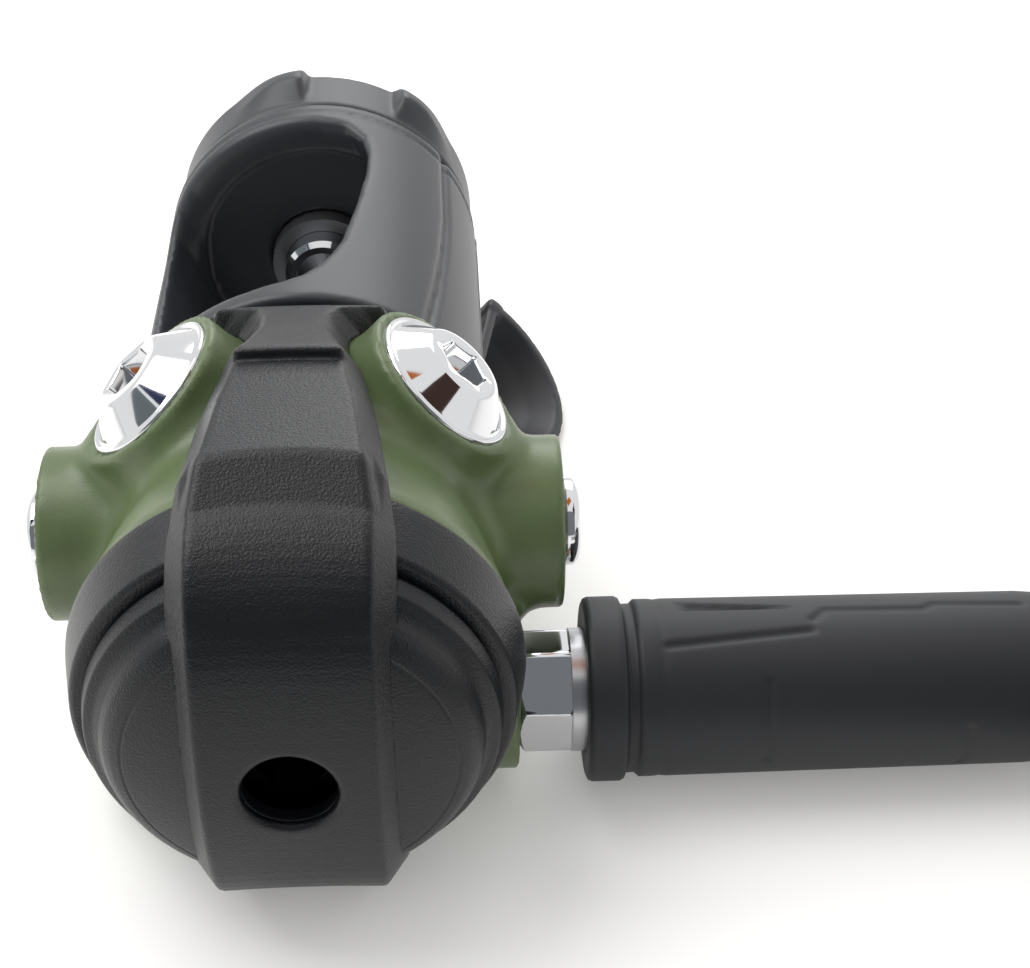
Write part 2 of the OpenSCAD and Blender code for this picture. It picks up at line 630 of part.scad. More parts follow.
// Dust cap: a soft dish with one flat side, moulded in one with its strap and ring
dust_strap_end = dust_pos[1] + 5;
module dust_dish() difference() {
    rotate_extrude() polygon([
        [0, -dust_depth - 0.4], [dust_r - dust_depth + 0.8, -dust_depth - 0.4], [dust_r, -1], [dust_r, 0],
        [dust_r - dust_wall, 0], [dust_r - dust_wall, -0.6], [dust_r - dust_depth + 0.6, 1.6 - dust_depth],
        [0, 1.6 - dust_depth]
    ]);
    translate([-60 - dust_cut, -30, -30]) cube([60, 60, 60]);
}
module dust_flat() intersection() {
    rotate_extrude() polygon([
        [0, -dust_depth - 0.4], [dust_r - dust_depth + 0.8, -dust_depth - 0.4], [dust_r, -1], [dust_r, 0], [0, 0]
    ]);
    translate([-dust_cut, -30, -30]) cube([dust_wall, 60, 60]);
}
module dust_cap() color(rubber) place() {
    translate(dust_pos) rotate(dust_tilt) {
        dust_dish();
        dust_flat();
    }
    along_y(body_len + 0.2) washer(dust_ring_in, dust_ring_out, 0, dust_ring_t);
    rotate([0, -dust_strap_angle, 0]) {
        translate([dust_ring_in + 2, body_len + 0.2, -dust_strap_w / 2])
            cube([dust_strap_r + dust_strap_t - dust_ring_in - 2, dust_ring_t, dust_strap_w]);
        translate([dust_strap_r, body_len + 0.2, -dust_strap_w / 2])
            cube([dust_strap_t, dust_strap_end - body_len, dust_strap_w]);
    }
}

// Hose fitting: thread, hexagon and collar, then the crimp and the rubber guard
hex_turn = 10;
module hose_fitting() color(chrome) place() along_x(1, low_y, low_z) difference() {
    union() {
        translate([0, 0, 16]) cylinder(r = feed_thread_r - seat_gap, h = low_reach - 15);
        translate([0, 0, low_reach + seat_gap]) rotate(hex_turn) intersection() {
            hexagon(hex_af, hex_len);
            rotate_extrude() polygon([
                [0, 0], [hex_af / 2, 0], [hex_af / sqrt(3) + 0.2, 0.8], [hex_af / sqrt(3) + 0.2, hex_len - 0.8],
                [hex_af / 2, hex_len], [0, hex_len]
            ]);
        }
        translate([0, 0, low_reach + hex_len]) cylinder(r = ferrule_r - 0.5, h = guard_x - low_reach - hex_len);
    }
    translate([0, 0, low_reach - 1]) o_ring_groove(feed_thread_r, 0.9);
}
module fitting_o_ring() color(seal) place() along_x(1, low_y, low_z)
    o_ring(feed_thread_r - 0.47, 0.4, low_reach - 0.55);
module crimp_ferrule() color(steel) place() along_x(1, low_y, low_z)
    washer(hose_r + seat_gap, ferrule_r, guard_x + seat_gap, ferrule_len);

// Guard: lip, groove, a nearly straight sleeve and a taper down to the hose
lip_r = guard_r + 0.5;
lip_len = 5.5;
groove_len = 1.2;
taper_len = 22;
module hose_guard() color(rubber) place() along_x(1, low_y, low_z) translate([0, 0, guard_x]) rotate_extrude()
    polygon(concat(
        [[ferrule_r + seat_gap, 0]],
        arc(lip_r - 0.8, 0.8, 0.8, -90, 0, 4),
        arc(lip_r - 0.8, lip_len - 0.8, 0.8, 0, 90, 4),
        [[guard_r - 0.6, lip_len], [guard_r - 0.6, lip_len + groove_len], [guard_r, lip_len + groove_len + 0.5]],
        [[guard_r - 0.3, guard_len - taper_len]],
        [[hose_r + 2.6, guard_len - 1], [hose_r + 1.8, guard_len], [hose_r + seat_gap, guard_len]],
        [[hose_r + seat_gap, ferrule_len + 0.5], [ferrule_r + seat_gap, ferrule_len + 0.5]]
    ));

// Hose: a straight lead through the guard, down to the ground, then a coil of one and a half turns
up = [0, 0, 1];
hose_path = concat(
    [for (x = [hose_start - frame_x, 58, 80, 100]) [x, hose_exit[1], hose_exit[2]]],
    hose_route
);
module hose() color(rubber) swept_tube(hose_path, hose_r, 10, [for (q = hose_path) up], [1, 0, 0], [1, 0, 0]);
function smooth(t) = let (c = max(0, min(1, t))) c * c * (3 - 2 * c);
function coil_radius(turn) =
    coil_start_r - coil_pitch * (turn < coil_reverse ? turn : 2 * coil_reverse - turn) / 360;
function coil_point(turn) =
    let (r = coil_radius(turn), lift = smooth((turn - coil_climb[0]) / (coil_climb[1] - coil_climb[0])))
    coil_centre + [r * sin(turn), r * cos(turn), hose_r + coil_layer * lift];
coil_path = concat(
    [for (i = [0:loop_rings * coil_turns]) coil_point(360 * i / loop_rings)],
    tail_route
);
echo("hose coil least gap", least_gap(coil_path, hose_r, 12));
module hose_coil() color(rubber)
    swept_tube(coil_path, hose_r, 6, [for (q = coil_path) up], [1, 0, 0], [-1, 0, 0]);

// Far end of the hose: crimp, stem with its seal, and the free-turning nut
module at_tail() translate(tail_end) rotate([0, -90, 0]) children();
stem_start = end_ferrule_len;
nut_start = stem_start + 1.5;
collar_start = nut_start + nut_back + free_gap;
module end_ferrule() color(steel) at_tail() {
    rotate_extrude() polygon([
        [0, seat_gap], [end_ferrule_r - 0.8, seat_gap], [end_ferrule_r, seat_gap + 0.8],
        [end_ferrule_r, end_ferrule_len - 0.8], [end_ferrule_r - 0.8, end_ferrule_len], [0, end_ferrule_len]
    ]);
}
module end_stem() color(chrome) at_tail() difference() {
    rotate_extrude() polygon([
        [0, stem_start], [stem_neck_r, stem_start], [stem_neck_r, collar_start], [nut_thread_r - free_gap, collar_start],
        [nut_thread_r - free_gap, collar_start + 2], [4.9, collar_start + 2], [4.9, collar_start + 3],
        [4.1, collar_start + 3], [4.1, collar_start + 4.6], [4.9, collar_start + 4.6], [4.9, collar_start + 6],
        [4.4, collar_start + 6.5], [0, collar_start + 6.5]
    ]);
    translate([0, 0, collar_start + 2]) cylinder(r = 2.4, h = 10);
}
module end_o_ring() color(seal) at_tail() o_ring(4.95, 0.75, collar_start + 3.8);
module swivel_nut() color(chrome) at_tail() translate([0, 0, nut_start]) difference() {
    intersection() {
        hexagon(nut_af, nut_len);
        rotate_extrude() polygon([
            [0, 0], [nut_af / 2, 0], [nut_af / sqrt(3), 1], [nut_af / sqrt(3), nut_len - 1], [nut_af / 2, nut_len],
            [0, nut_len]
        ]);
    }
    translate([0, 0, -over]) cylinder(r = stem_neck_r + run_gap, h = nut_back + 2 * over);
    translate([0, 0, nut_back]) cylinder(r = nut_thread_r, h = nut_len);
}

body();
cap_ring();
spring_body();
dome_cover();
cover_strap();
spring_adjuster();
main_spring();
spring_pad();
diaphragm();
valve_lifter();
valve_seat();
valve_poppet();
poppet_spring();
balance_plug();
balance_o_ring();
high_pressure_plugs();
high_pressure_o_rings();
low_pressure_plugs();
low_pressure_o_rings();
inlet_retainer();
inlet_filter();
filter_clip();
yoke_frame();
yoke_sheath();
yoke_screw();
screw_pad();
knob();
knob_washer();
dust_cap();
hose_fitting();
fitting_o_ring();
crimp_ferrule();
hose_guard();
hose();
hose_coil();
end_ferrule();
end_stem();
end_o_ring();
swivel_nut();
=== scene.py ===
"""Looks of a yoke-clamp first stage: its skins, finishes, hose and studio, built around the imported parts."""

import json
import math

import bmesh
import bpy
import numpy as np
from bpy.props import FloatProperty, FloatVectorProperty, IntProperty, PointerProperty
from mathutils import Matrix, Vector


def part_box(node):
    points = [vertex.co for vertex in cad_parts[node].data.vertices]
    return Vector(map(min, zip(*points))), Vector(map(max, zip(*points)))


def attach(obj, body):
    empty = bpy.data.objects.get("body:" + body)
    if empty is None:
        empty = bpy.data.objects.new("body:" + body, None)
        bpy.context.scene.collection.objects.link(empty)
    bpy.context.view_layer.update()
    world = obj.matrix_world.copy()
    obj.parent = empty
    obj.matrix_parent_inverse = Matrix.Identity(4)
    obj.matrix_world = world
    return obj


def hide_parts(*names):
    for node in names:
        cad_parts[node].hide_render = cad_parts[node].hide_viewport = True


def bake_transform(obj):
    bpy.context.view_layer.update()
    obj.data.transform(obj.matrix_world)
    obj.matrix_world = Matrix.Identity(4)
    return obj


bl_info = {
    "name": "Dive Regulator First Stage",
    "version": (1, 0, 0),
    "blender": (4, 5, 0),
    "location": "View3D > Sidebar > Regulator",
    "description": "Builds the skins, finishes and hose of a yoke-clamp first stage around its packed parts",
    "category": "Add Mesh",
}

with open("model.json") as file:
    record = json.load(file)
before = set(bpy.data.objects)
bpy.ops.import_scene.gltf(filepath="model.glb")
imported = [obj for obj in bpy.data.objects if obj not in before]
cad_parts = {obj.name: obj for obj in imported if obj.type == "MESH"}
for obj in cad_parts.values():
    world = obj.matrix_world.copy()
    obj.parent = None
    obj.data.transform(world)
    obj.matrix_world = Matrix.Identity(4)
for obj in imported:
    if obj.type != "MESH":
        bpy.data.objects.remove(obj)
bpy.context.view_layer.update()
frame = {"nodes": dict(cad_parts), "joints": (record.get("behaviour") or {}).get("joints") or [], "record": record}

# The body axis runs along Y. Stations are millimetres from the back edge of the cap ring.
MM = 0.001
JOINTS = {joint["name"]: joint for joint in frame["joints"]}
AXIS = Vector(JOINTS["knob_turn"]["pos_m"])
RING_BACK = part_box("cap_ring")[1].y
BASE = np.array([AXIS.x, RING_BACK, AXIS.z])
IMAGE_W, IMAGE_H = 1030, 968
CAMERA_AT = (0.01737, -0.22725, 0.19455)
FLOOR_WIDE, FLOOR_Z = 6.0, -0.0004


def linear(code):
    """Linear RGBA of an sRGB hex colour."""
    parts = [int(code[i:i + 2], 16) / 255 for i in (1, 3, 5)]
    return tuple(c / 12.92 if c <= 0.04045 else ((c + 0.055) / 1.055) ** 2.4 for c in parts) + (1.0,)


# Sizes and colours that a user would change


def size(label, text, default, low=0.0):
    """A length, given here in millimetres, as a property."""
    return FloatProperty(
        name=label, description=text, default=default * MM, min=low * MM, precision=5, subtype="DISTANCE",
        unit="LENGTH")


def in_mm(length):
    """A length property in millimetres, without its rounding error."""
    return round(length / MM, 4)


def colour(label, text, code):
    """A colour, as a property."""
    return FloatVectorProperty(
        name=label, description=text, default=linear(code), size=4, subtype="COLOR", min=0, max=1)


def angle(label, text, degrees):
    """An angle, as a property."""
    return FloatProperty(name=label, description=text, default=math.radians(degrees), subtype="ANGLE")


class FinishSettings(bpy.types.PropertyGroup):
    """Colours of the finishes."""

    green: colour("Body coating", "Olive coating of the manifold", "#55643F")
    black: colour("Cap polymer", "Grained polymer of ring, dome and strap", "#0F1115")
    sheath: colour("Sheath", "Overmoulding of the yoke and knob", "#2A2C31")
    guard: colour("Hose guard", "Rubber of the hose guard", "#1A1C20")
    cap: colour("Dust cap", "Soft rubber of the dust cap", "#1F2126")
    hose: colour("Hose cover", "Outer rubber of the hose", "#1B1C1D")


class FormSettings(bpy.types.PropertyGroup):
    """Sizes of the modelled forms."""

    cell: size("Cell", "Cell of the blended skins", 0.55, 0.3)
    blend: size("Blend", "Fillet between the bosses and the hub", 5.0)
    edge: size("Edge", "Rounding of moulded edges", 0.5)
    steps: IntProperty(name="Steps", description="Faces round a turned piece", default=144, min=24, max=360)
    hose_d: size("Hose diameter", "Outer diameter of the hose", 11.0, 8.0)


class StageSettings(bpy.types.PropertyGroup):
    """Camera, floor and lights."""

    lens: FloatProperty(name="Lens", description="Focal length", default=66.44, min=20, unit="CAMERA")
    pitch: angle("Pitch", "Camera tilt down", 37.3)
    yaw: angle("Yaw", "Camera turn to the right", 2.75)
    roll: angle("Roll", "Camera roll", 0.22)
    floor: colour("Floor", "Colour of the floor", "#F2F1EF")


# Meshes


def mesh_object(name, points, faces, tidy=True):
    """A smooth object of points in millimetres about the body axis, closed and facing outwards."""
    mesh = bpy.data.meshes.new(name)
    mesh.from_pydata((np.asarray(points, float) * MM + BASE).tolist(), [], faces)
    if tidy:
        shape = bmesh.new()
        shape.from_mesh(mesh)
        bmesh.ops.remove_doubles(shape, verts=shape.verts, dist=1e-7)
        bmesh.ops.recalc_face_normals(shape, faces=shape.faces)
        shape.to_mesh(mesh)
        shape.free()
    mesh.shade_smooth()
    piece = bpy.data.objects.new(name, mesh)
    bpy.context.scene.collection.objects.link(piece)
    return piece


def settle(piece, material, slot, body, *nodes):
    """Gives a piece its finish, its body and the nodes that it stands for."""
    piece.data.materials.clear()
    piece.data.materials.append(material)
    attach(piece, body)
    if nodes:
        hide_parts(*nodes)
    return piece


def arc(cx, cy, r, start, end, steps=10):
    """Points of an arc about (cx, cy), in degrees."""
    turns = np.radians(np.linspace(start, end, steps + 1))
    return [(cx + r * math.cos(a), cy + r * math.sin(a)) for a in turns]


def rounded(outline, radius, steps=4):
    """A closed outline with each corner rounded, by less on short edges."""
    points = [Vector(p) for p in outline]
    soft = []
    for before, corner, after in zip(points[-1:] + points[:-1], points, points[1:] + points[:1]):
        reach = min(radius, 0.45 * (corner - before).length, 0.45 * (after - corner).length)
        a = corner + (before - corner).normalized() * reach
        b = corner + (after - corner).normalized() * reach
        soft += [
            (1 - t) ** 2 * a + 2 * t * (1 - t) * corner + t * t * b for t in np.linspace(0, 1, steps + 1)]
    return [tuple(p) for p in soft]


def hexagon_radius(flat, turn):
    """Radius of a hexagon with that half width across its flats, at each angle."""
    sixth = math.pi / 3
    return flat / np.cos((turn + sixth / 2) % sixth - sixth / 2)


def lathe(rows, steps):
    """Points and faces of rows (radius, height) turned about z; a third entry makes the radius a hexagon's
    half width across flats, limited to that largest radius."""
    turn = np.linspace(0, 2 * math.pi, steps, endpoint=False)
    points = []
    for row in rows:
        radius = np.minimum(hexagon_radius(row[0], turn), row[2]) if len(row) > 2 else np.full(steps, row[0])
        points.append(np.stack([radius * np.cos(turn), radius * np.sin(turn), np.full(steps, row[1])], 1))
    count = len(rows)
    faces = [
        (i * steps + k, i * steps + (k + 1) % steps, j * steps + (k + 1) % steps, j * steps + k)
        for i, j in zip(range(count), list(range(1, count)) + [0]) for k in range(steps)]
    return np.concatenate(points), faces


def facing(origin, direction):
    """Matrix that stands a shape made along z on origin, pointing along direction."""
    turn = Vector(direction).normalized().to_track_quat("Z", "Y").to_matrix().to_4x4()
    return Matrix.Translation(origin) @ turn


def moved(points, matrix):
    """Points moved by a matrix."""
    m = np.array(matrix)
    return np.asarray(points) @ m[:3, :3].T + m[:3, 3]


ALONG_AXIS = facing((0, 0, 0), (0, 1, 0))


def turned(name, outline, steps):
    """A closed outline (radius, station) turned about the body axis."""
    points, faces = lathe(outline, steps)
    return mesh_object(name, moved(points, ALONG_AXIS), faces)


# Blended skins: the zero surface of a distance field


def join(a, b, k):
    """Union of two distances with a fillet of about k."""
    h = np.clip(0.5 + 0.5 * (b - a) / k, 0, 1)
    return b + (a - b) * h - k * h * (1 - h)


def meet(a, b, k):
    """Intersection of two distances with an edge rounded by about k."""
    return -join(-a, -b, k)


def rod(x, y, z, origin, direction, r, start, end, soft=0.01):
    """Distance to a round rod from start to end along a direction, with softened edges."""
    px, py, pz = x - origin[0], y - origin[1], z - origin[2]
    along = px * direction[0] + py * direction[1] + pz * direction[2]
    off = np.sqrt(np.maximum(px * px + py * py + pz * pz - along * along, 0))
    side = off - r + soft
    tip = np.maximum(along - end, start - along) + soft
    return np.hypot(np.maximum(side, 0), np.maximum(tip, 0)) + np.minimum(np.maximum(side, tip), 0) - soft


def outline_distance(outline, u, v):
    """Signed distance to a closed outline, negative inside."""
    best = np.full(np.broadcast(u, v).shape, 1e9)
    inside = np.zeros(best.shape, bool)
    for (au, av), (bu, bv) in zip(outline, outline[1:] + outline[:1]):
        du, dv = bu - au, bv - av
        if du * du + dv * dv < 1e-12:
            continue
        share = np.clip(((u - au) * du + (v - av) * dv) / (du * du + dv * dv), 0, 1)
        best = np.minimum(best, (u - au - share * du) ** 2 + (v - av - share * dv) ** 2)
        if dv:
            inside ^= ((av > v) != (bv > v)) & (u < du * (v - av) / dv + au)
    return np.sqrt(best) * np.where(inside, -1, 1)


CORNERS = np.array([(i, j, k) for i in (0, 1) for j in (0, 1) for k in (0, 1)])
CUBE_EDGES = [(a, a | bit) for a in range(8) for bit in (1, 2, 4) if not a & bit]


def crossing_cells(value):
    """Cells of a grid that the zero surface crosses: their places, the point in each, and their numbers."""
    shape = [n - 1 for n in value.shape]
    sides = [value[i:shape[0] + i, j:shape[1] + j, k:shape[2] + k] for i, j, k in CORNERS]
    filled = sum((side < 0).astype(np.int8) for side in sides)
    active = (filled > 0) & (filled < 8)
    at_corner = np.stack([side[active] for side in sides], 1)
    total, count = np.zeros((len(at_corner), 3)), np.zeros(len(at_corner))
    for a, b in CUBE_EDGES:
        va, vb = at_corner[:, a], at_corner[:, b]
        crossed = (va < 0) != (vb < 0)
        share = np.where(crossed, va / np.where(crossed, va - vb, 1), 0)
        total += crossed[:, None] * (CORNERS[a] + share[:, None] * (CORNERS[b] - CORNERS[a]))
        count += crossed
    number = np.full(active.shape, -1)
    number[active] = np.arange(len(at_corner))
    return np.argwhere(active) + total / count[:, None], number


def crossing_faces(value, number):
    """A face round each grid edge that the zero surface crosses."""
    faces = []
    for axis in range(3):
        e, f = np.eye(3, dtype=int)[(axis + 1) % 3], np.eye(3, dtype=int)[(axis + 2) % 3]
        lower, upper = np.delete(value, -1, axis), np.delete(value, 0, axis)
        spots = np.argwhere((lower < 0) != (upper < 0))
        outward = lower[tuple(spots.T)] < 0
        ring = np.stack([number[tuple((spots - step).T)] for step in (0 * e, e, e + f, f)], 1)
        faces += np.where(outward[:, None], ring, ring[:, ::-1]).tolist()
    return faces


def skin(name, field, low, high, cell):
    """A closed object where field(x, y, z), in millimetres, is zero; it is negative inside."""
    axes = [np.arange(a - cell, b + 2 * cell, cell) for a, b in zip(low, high)]
    grid = np.meshgrid(*axes, indexing="ij", sparse=True)
    value = np.array(np.broadcast_to(field(*grid), [len(a) for a in axes]))
    places, number = crossing_cells(value)
    points = np.array([a[0] for a in axes]) + places * cell
    probe = 0.02
    for _ in range(3):
        here = field(*points.T)
        slope = np.stack([field(*(points + probe * d).T) - here for d in np.eye(3)], 1) / probe
        steep = np.maximum((slope ** 2).sum(1), 0.2)
        points -= np.clip(here / steep, -cell / 2, cell / 2)[:, None] * slope
    return mesh_object(name, points, crossing_faces(value, number), tidy=False)


# Finishes, one for each slot of the record


def add(tree, kind, inputs, **settings):
    """Adds a node with its settings; each input is a value or another node's output."""
    made = tree.nodes.new(kind)
    for key, value in settings.items():
        setattr(made, key, value)
    for key, value in inputs.items():
        if isinstance(value, bpy.types.NodeSocket):
            tree.links.new(value, made.inputs[key])
        else:
            made.inputs[key].default_value = value
    return made


def finish(slot, name, base, rough, metal=0.0):
    """A plain material kept under its slot: its node tree and its shader."""
    material = bpy.data.materials.new(name)
    material.use_nodes = True
    material["slot"] = slot
    shader = material.node_tree.nodes["Principled BSDF"]
    shader.inputs["Base Color"].default_value = base
    shader.inputs["Roughness"].default_value = rough
    shader.inputs["Metallic"].default_value = metal
    return material.node_tree, shader


def material_of(slot):
    """The material kept under a slot."""
    return next(m for m in bpy.data.materials if m.get("slot") == slot)


def grain(tree, shader, grain_mm, height_mm, strength):
    """Bumps of moulded grain, by their size and height in millimetres."""
    place = add(tree, "ShaderNodeTexCoord", {}).outputs["Object"]
    noise = add(tree, "ShaderNodeTexNoise", {
        "Vector": place, "Scale": 1 / (grain_mm * MM), "Detail": 2.0, "Roughness": 0.6})
    bump = add(tree, "ShaderNodeBump", {
        "Height": noise.outputs["Fac"], "Distance": height_mm * MM, "Strength": strength})
    tree.links.new(bump.outputs["Normal"], shader.inputs["Normal"])
    return place


def mottle(tree, shader, place, first, second, patch_mm, low, high):
    """Base colour that wanders between two colours in patches of a size in millimetres."""
    noise = add(tree, "ShaderNodeTexNoise", {"Vector": place, "Scale": 1 / (patch_mm * MM), "Detail": 4.0})
    ramp = add(tree, "ShaderNodeValToRGB", {"Fac": noise.outputs["Fac"]})
    ramp.color_ramp.elements[0].position, ramp.color_ramp.elements[1].position = low, high
    ramp.color_ramp.elements[0].color, ramp.color_ramp.elements[1].color = first, second
    tree.links.new(ramp.outputs["Color"], shader.inputs["Base Color"])


def shade(base, factor):
    """A colour made darker or lighter."""
    return tuple(min(1.0, c * factor) for c in base[:3]) + (1.0,)


def make_finishes(made):
    """The materials of all slots."""
    # Baked coating over brass: satin, with faint clouding
    tree, shader = finish("green_coating", "Olive coating", made.green, 0.36)
    place = grain(tree, shader, 0.35, 0.04, 0.7)
    mottle(tree, shader, place, shade(made.green, 0.86), shade(made.green, 1.12), 6.0, 0.3, 0.7)
    # Glass-filled polyamide with a moulded grain
    tree, shader = finish("black_plastic", "Grained polymer", made.black, 0.34)
    shader.inputs["Specular IOR Level"].default_value = 0.35
    grain(tree, shader, 0.32, 0.1, 1.0)
    # Soft-touch overmoulding
    tree, shader = finish("sheath_rubber", "Sheath elastomer", made.sheath, 0.44)
    grain(tree, shader, 0.25, 0.012, 0.4)
    # Matt rubber mouldings
    for slot, name, base, rough in (
            ("cap_rubber", "Dust cap rubber", made.cap, 0.5),
            ("guard_rubber", "Guard rubber", made.guard, 0.58),
            ("hose_rubber", "Hose rubber", made.hose, 0.5),
            ("seal_rubber", "Seal rubber", linear("#1C1C1E"), 0.45)):
        tree, shader = finish(slot, name, base, rough)
        grain(tree, shader, 0.3, 0.015, 0.4)
    # Bright chrome plate
    tree, shader = finish("chrome", "Chrome plate", linear("#D9DADC"), 0.07, 1.0)
    grain(tree, shader, 1.8, 0.004, 0.15)
    # Turned stainless steel, plain and satin
    for slot, name, base, rough in (
            ("steel", "Stainless steel", "#B4B5B7", 0.28), ("satin_steel", "Satin steel", "#A2A4A7", 0.4),
            ("brass", "Brass", "#C4A35E", 0.3), ("black_plate", "Black plate", "#2B2C2E", 0.35)):
        tree, shader = finish(slot, name, linear(base), rough, 1.0)
        grain(tree, shader, 0.3, 0.004, 0.3)
    # Sintered bronze, open between its grains
    tree, shader = finish("sintered_bronze", "Sintered bronze", linear("#A07C4B"), 0.6, 1.0)
    grain(tree, shader, 0.25, 0.1, 1.0)


# Forms, in millimetres: x across, y the station along the body axis, z above the axis

HUB = ((-0.2, 28.0), (3.0, 28.0), (14.0, 25.5), (26.0, 24.0), (38.0, 23.0), (44.4, 21.5))
SIDE_Y, SIDE_REACH, SIDE_R = 27.6, 35.1, 12.0
HIGH_Y, HIGH_REACH, HIGH_R, HIGH_TURN = 31.6, 29.0, 12.2, math.radians(47)
LOW_Y, LOW_Z, LOW_REACH, LOW_R = 12.0, -17.4, 28.4, 10.5
FEED_R, HIGH_THREAD_R = 4.76, 5.55


def port_list():
    """Origin, direction, boss radius, reach and thread radius of the six ports."""
    high = math.cos(HIGH_TURN), math.sin(HIGH_TURN)
    ports = []
    for side in (-1, 1):
        ports.append(((0, SIDE_Y, 0), (side, 0, 0), SIDE_R, SIDE_REACH, FEED_R))
        ports.append(((0, HIGH_Y, 0), (side * high[0], 0, high[1]), HIGH_R, HIGH_REACH, HIGH_THREAD_R))
        ports.append(((0, LOW_Y, LOW_Z), (side, 0, 0), LOW_R, LOW_REACH, FEED_R))
    return ports


def hub_field(x, y, z):
    """Distance to the body's turned middle."""
    ys, rs = zip(*HUB)
    r = np.hypot(x, z)
    return meet(r - np.interp(y, ys, rs), np.maximum(0.05 - y, y - 44.4), 1.2)


def body_outside(x, y, z, blend):
    """Distance to the body's outside, its bosses blended into the hub."""
    whole = hub_field(x, y, z)
    for origin, direction, r, reach, _ in port_list():
        whole = join(whole, rod(x, y, z, origin, direction, r, 8, reach, 0.6), blend)
    return meet(whole, np.maximum(0.05 - y, y - 44.0), 0.8)


def body_field(x, y, z, blend):
    """Distance to the body with its spigot, neck, bores and ports."""
    axis, along = (0, 0, 0), (0, 1, 0)
    whole = body_outside(x, y, z, blend)
    whole = np.minimum(whole, rod(x, y, z, axis, along, 24.6, -7, 2))
    whole = np.minimum(whole, rod(x, y, z, axis, along, 16, 40, 46.3))
    for r, start, end in ((22.4, -9, 3), (18.5, 2, 6.5), (11, 0, 27), (6.1, 20, 34), (8.5, 33, 41),
        (10, 40, 48)):
        whole = np.maximum(whole, -rod(x, y, z, axis, along, r, start, end))
    for origin, direction, r, reach, thread in port_list():
        whole = np.maximum(whole, -rod(x, y, z, origin, direction, thread, 14, reach + 5))
        if thread > FEED_R:
            whole = np.maximum(whole, -rod(x, y, z, origin, direction, 10.5, reach - 0.8, reach + 5))
    return whole


RING = [
    (24.65, 0), (28.6, 0), (29, -0.4), (28.85, -1.6), (27.5, -8.5), (26.9, -9), (22.8, -9), (22.8, -8),
    (24.65, -8)]


def dome_outline():
    """Outline of the stepped dome cover, from its hole over the outside and back along the inside."""
    outside = [(r, 30 - math.sqrt(52 ** 2 - r * r)) for r in np.linspace(5.75, 20, 14)]
    outside += [(20.15, -17.72), (20.5, -17.72), (21.6, -17.1), (22.5, -16.2), (23.1, -15.1), (23.4, -14)]
    outside += [(24, -13.2), (25.3, -12.6), (25.8, -9.95), (25.3, -9.05), (22.6, -9.05), (22.6, -8.2),
        (20.9, -8.2)]
    inside = [(20.9, -12), (21.4, -13), (19.2, -16.2)]
    inside += [(r, 30 - math.sqrt(50 ** 2 - r * r)) for r in np.linspace(19, 5.75, 8)]
    return outside + inside


CAP_SHAPE = (
    (-22, 0), (-21.98, 1.5), (-21.6, 6.4), (-20.6, 12), (-18, 20), (-17.1, 21.6), (-16.2, 22.5),
    (-15.1, 23.1),
    (-14, 23.4), (-13.2, 24), (-12.6, 25.3), (-9.95, 25.8), (-9, 26), (-8.98, 26.9), (-8.5, 27.5),
    (-1.6, 28.85),
    (-0.4, 29), (0.2, 29), (0.4, 27), (14, 24.5), (26, 23), (38, 22), (50, 20))
STRAP_TOP, STRAP_REACH = 30.2, 23.2
STRAP_PLAN = (
    (-30, 10.6), (-6, 10.5), (1, 9.5), (12, 8.2), (20.7, 6.7), (25, 5.2), (31, 3.9), (36, 4.2),
    (39, 5.4), (41.5, 8.4),
    (43, 11), (45, 12.5))
STRAP_DRAFT = 0.72


def strap_outline():
    """Side outline (y, z) of the strap: underside, front, brow, plateau and tail."""
    shoulder, front = 20.18, 54.0
    lower = arc(30.8, 0, front, 197.24, 180, 9) + arc(30.8, 0, front, 180, 162.76, 9)[1:]
    outline = [(3, -18), (3, -STRAP_TOP)] + arc(-1.5, -10.02, shoulder, 270, 197.24, 12)
    outline += lower + arc(-1.5, 10.02, shoulder, 162.76, 101, 12)
    outline += [(0.2, 32.7), (1.2, 33), (20.4, 32.7), (20.7, 33.9), (21.6, 34), (31, 31.2), (40, 28.2),
        (43.4, 26.2)]
    return outline + [(44.2, 25), (44.2, 16), (-2, 16), (-2, -18)]


def strap_field(x, y, z, outline, edge):
    """Distance to the strap, drafted at its sides and hollowed for the cap and the hole."""
    near_top = np.clip((z - 20) / 8, 0, 1)
    bow = 0.01 * x * x * near_top * np.clip((12 - y) / 10, 0, 1)
    side = outline_distance(outline, y + bow, z + 0.003 * x * x)
    ys, halves = zip(*STRAP_PLAN)
    plan = np.abs(x) - np.interp(y, ys, halves) - STRAP_DRAFT * np.clip(-side, 0, 4)
    whole = meet(side, plan / math.hypot(1, STRAP_DRAFT), edge)
    stations, radii = zip(*CAP_SHAPE)
    r = np.hypot(x, z)
    whole = np.maximum(whole, np.interp(y, stations, radii) - 0.8 - r)
    for sign in (-1, 1):
        slot = rod(x, y, z, (sign * 10.9, 5.5, 32.2), (sign * 0.143, -0.946, -0.291), 0.95, 0, 12, 0.5)
        whole = meet(whole, -slot, 0.3)
    return meet(whole, 5.75 - r - np.where(y < 0, 0, 100), 1.1)


YOKE_TURN = math.radians(28.5)
WINDOW = (
    (0, 51.1), (5, 51.2), (9.3, 52.1), (11.5, 53.4), (13.2, 55.8), (14.6, 59.2), (15.7, 63.4), (17.1, 74.4),
    (18.1, 86.3), (18.2, 92), (17.5, 96.5), (15.5, 99.3), (12, 100.2))
YOKE_R, YOKE_FRONT, YOKE_BACK = 25.5, 46.3, 106.7
CREASE = ((46, 48), (52, 45.8), (63, 41.7), (74, 38.3), (85.5, 36.1), (96, 36.3), (108, 36.4))


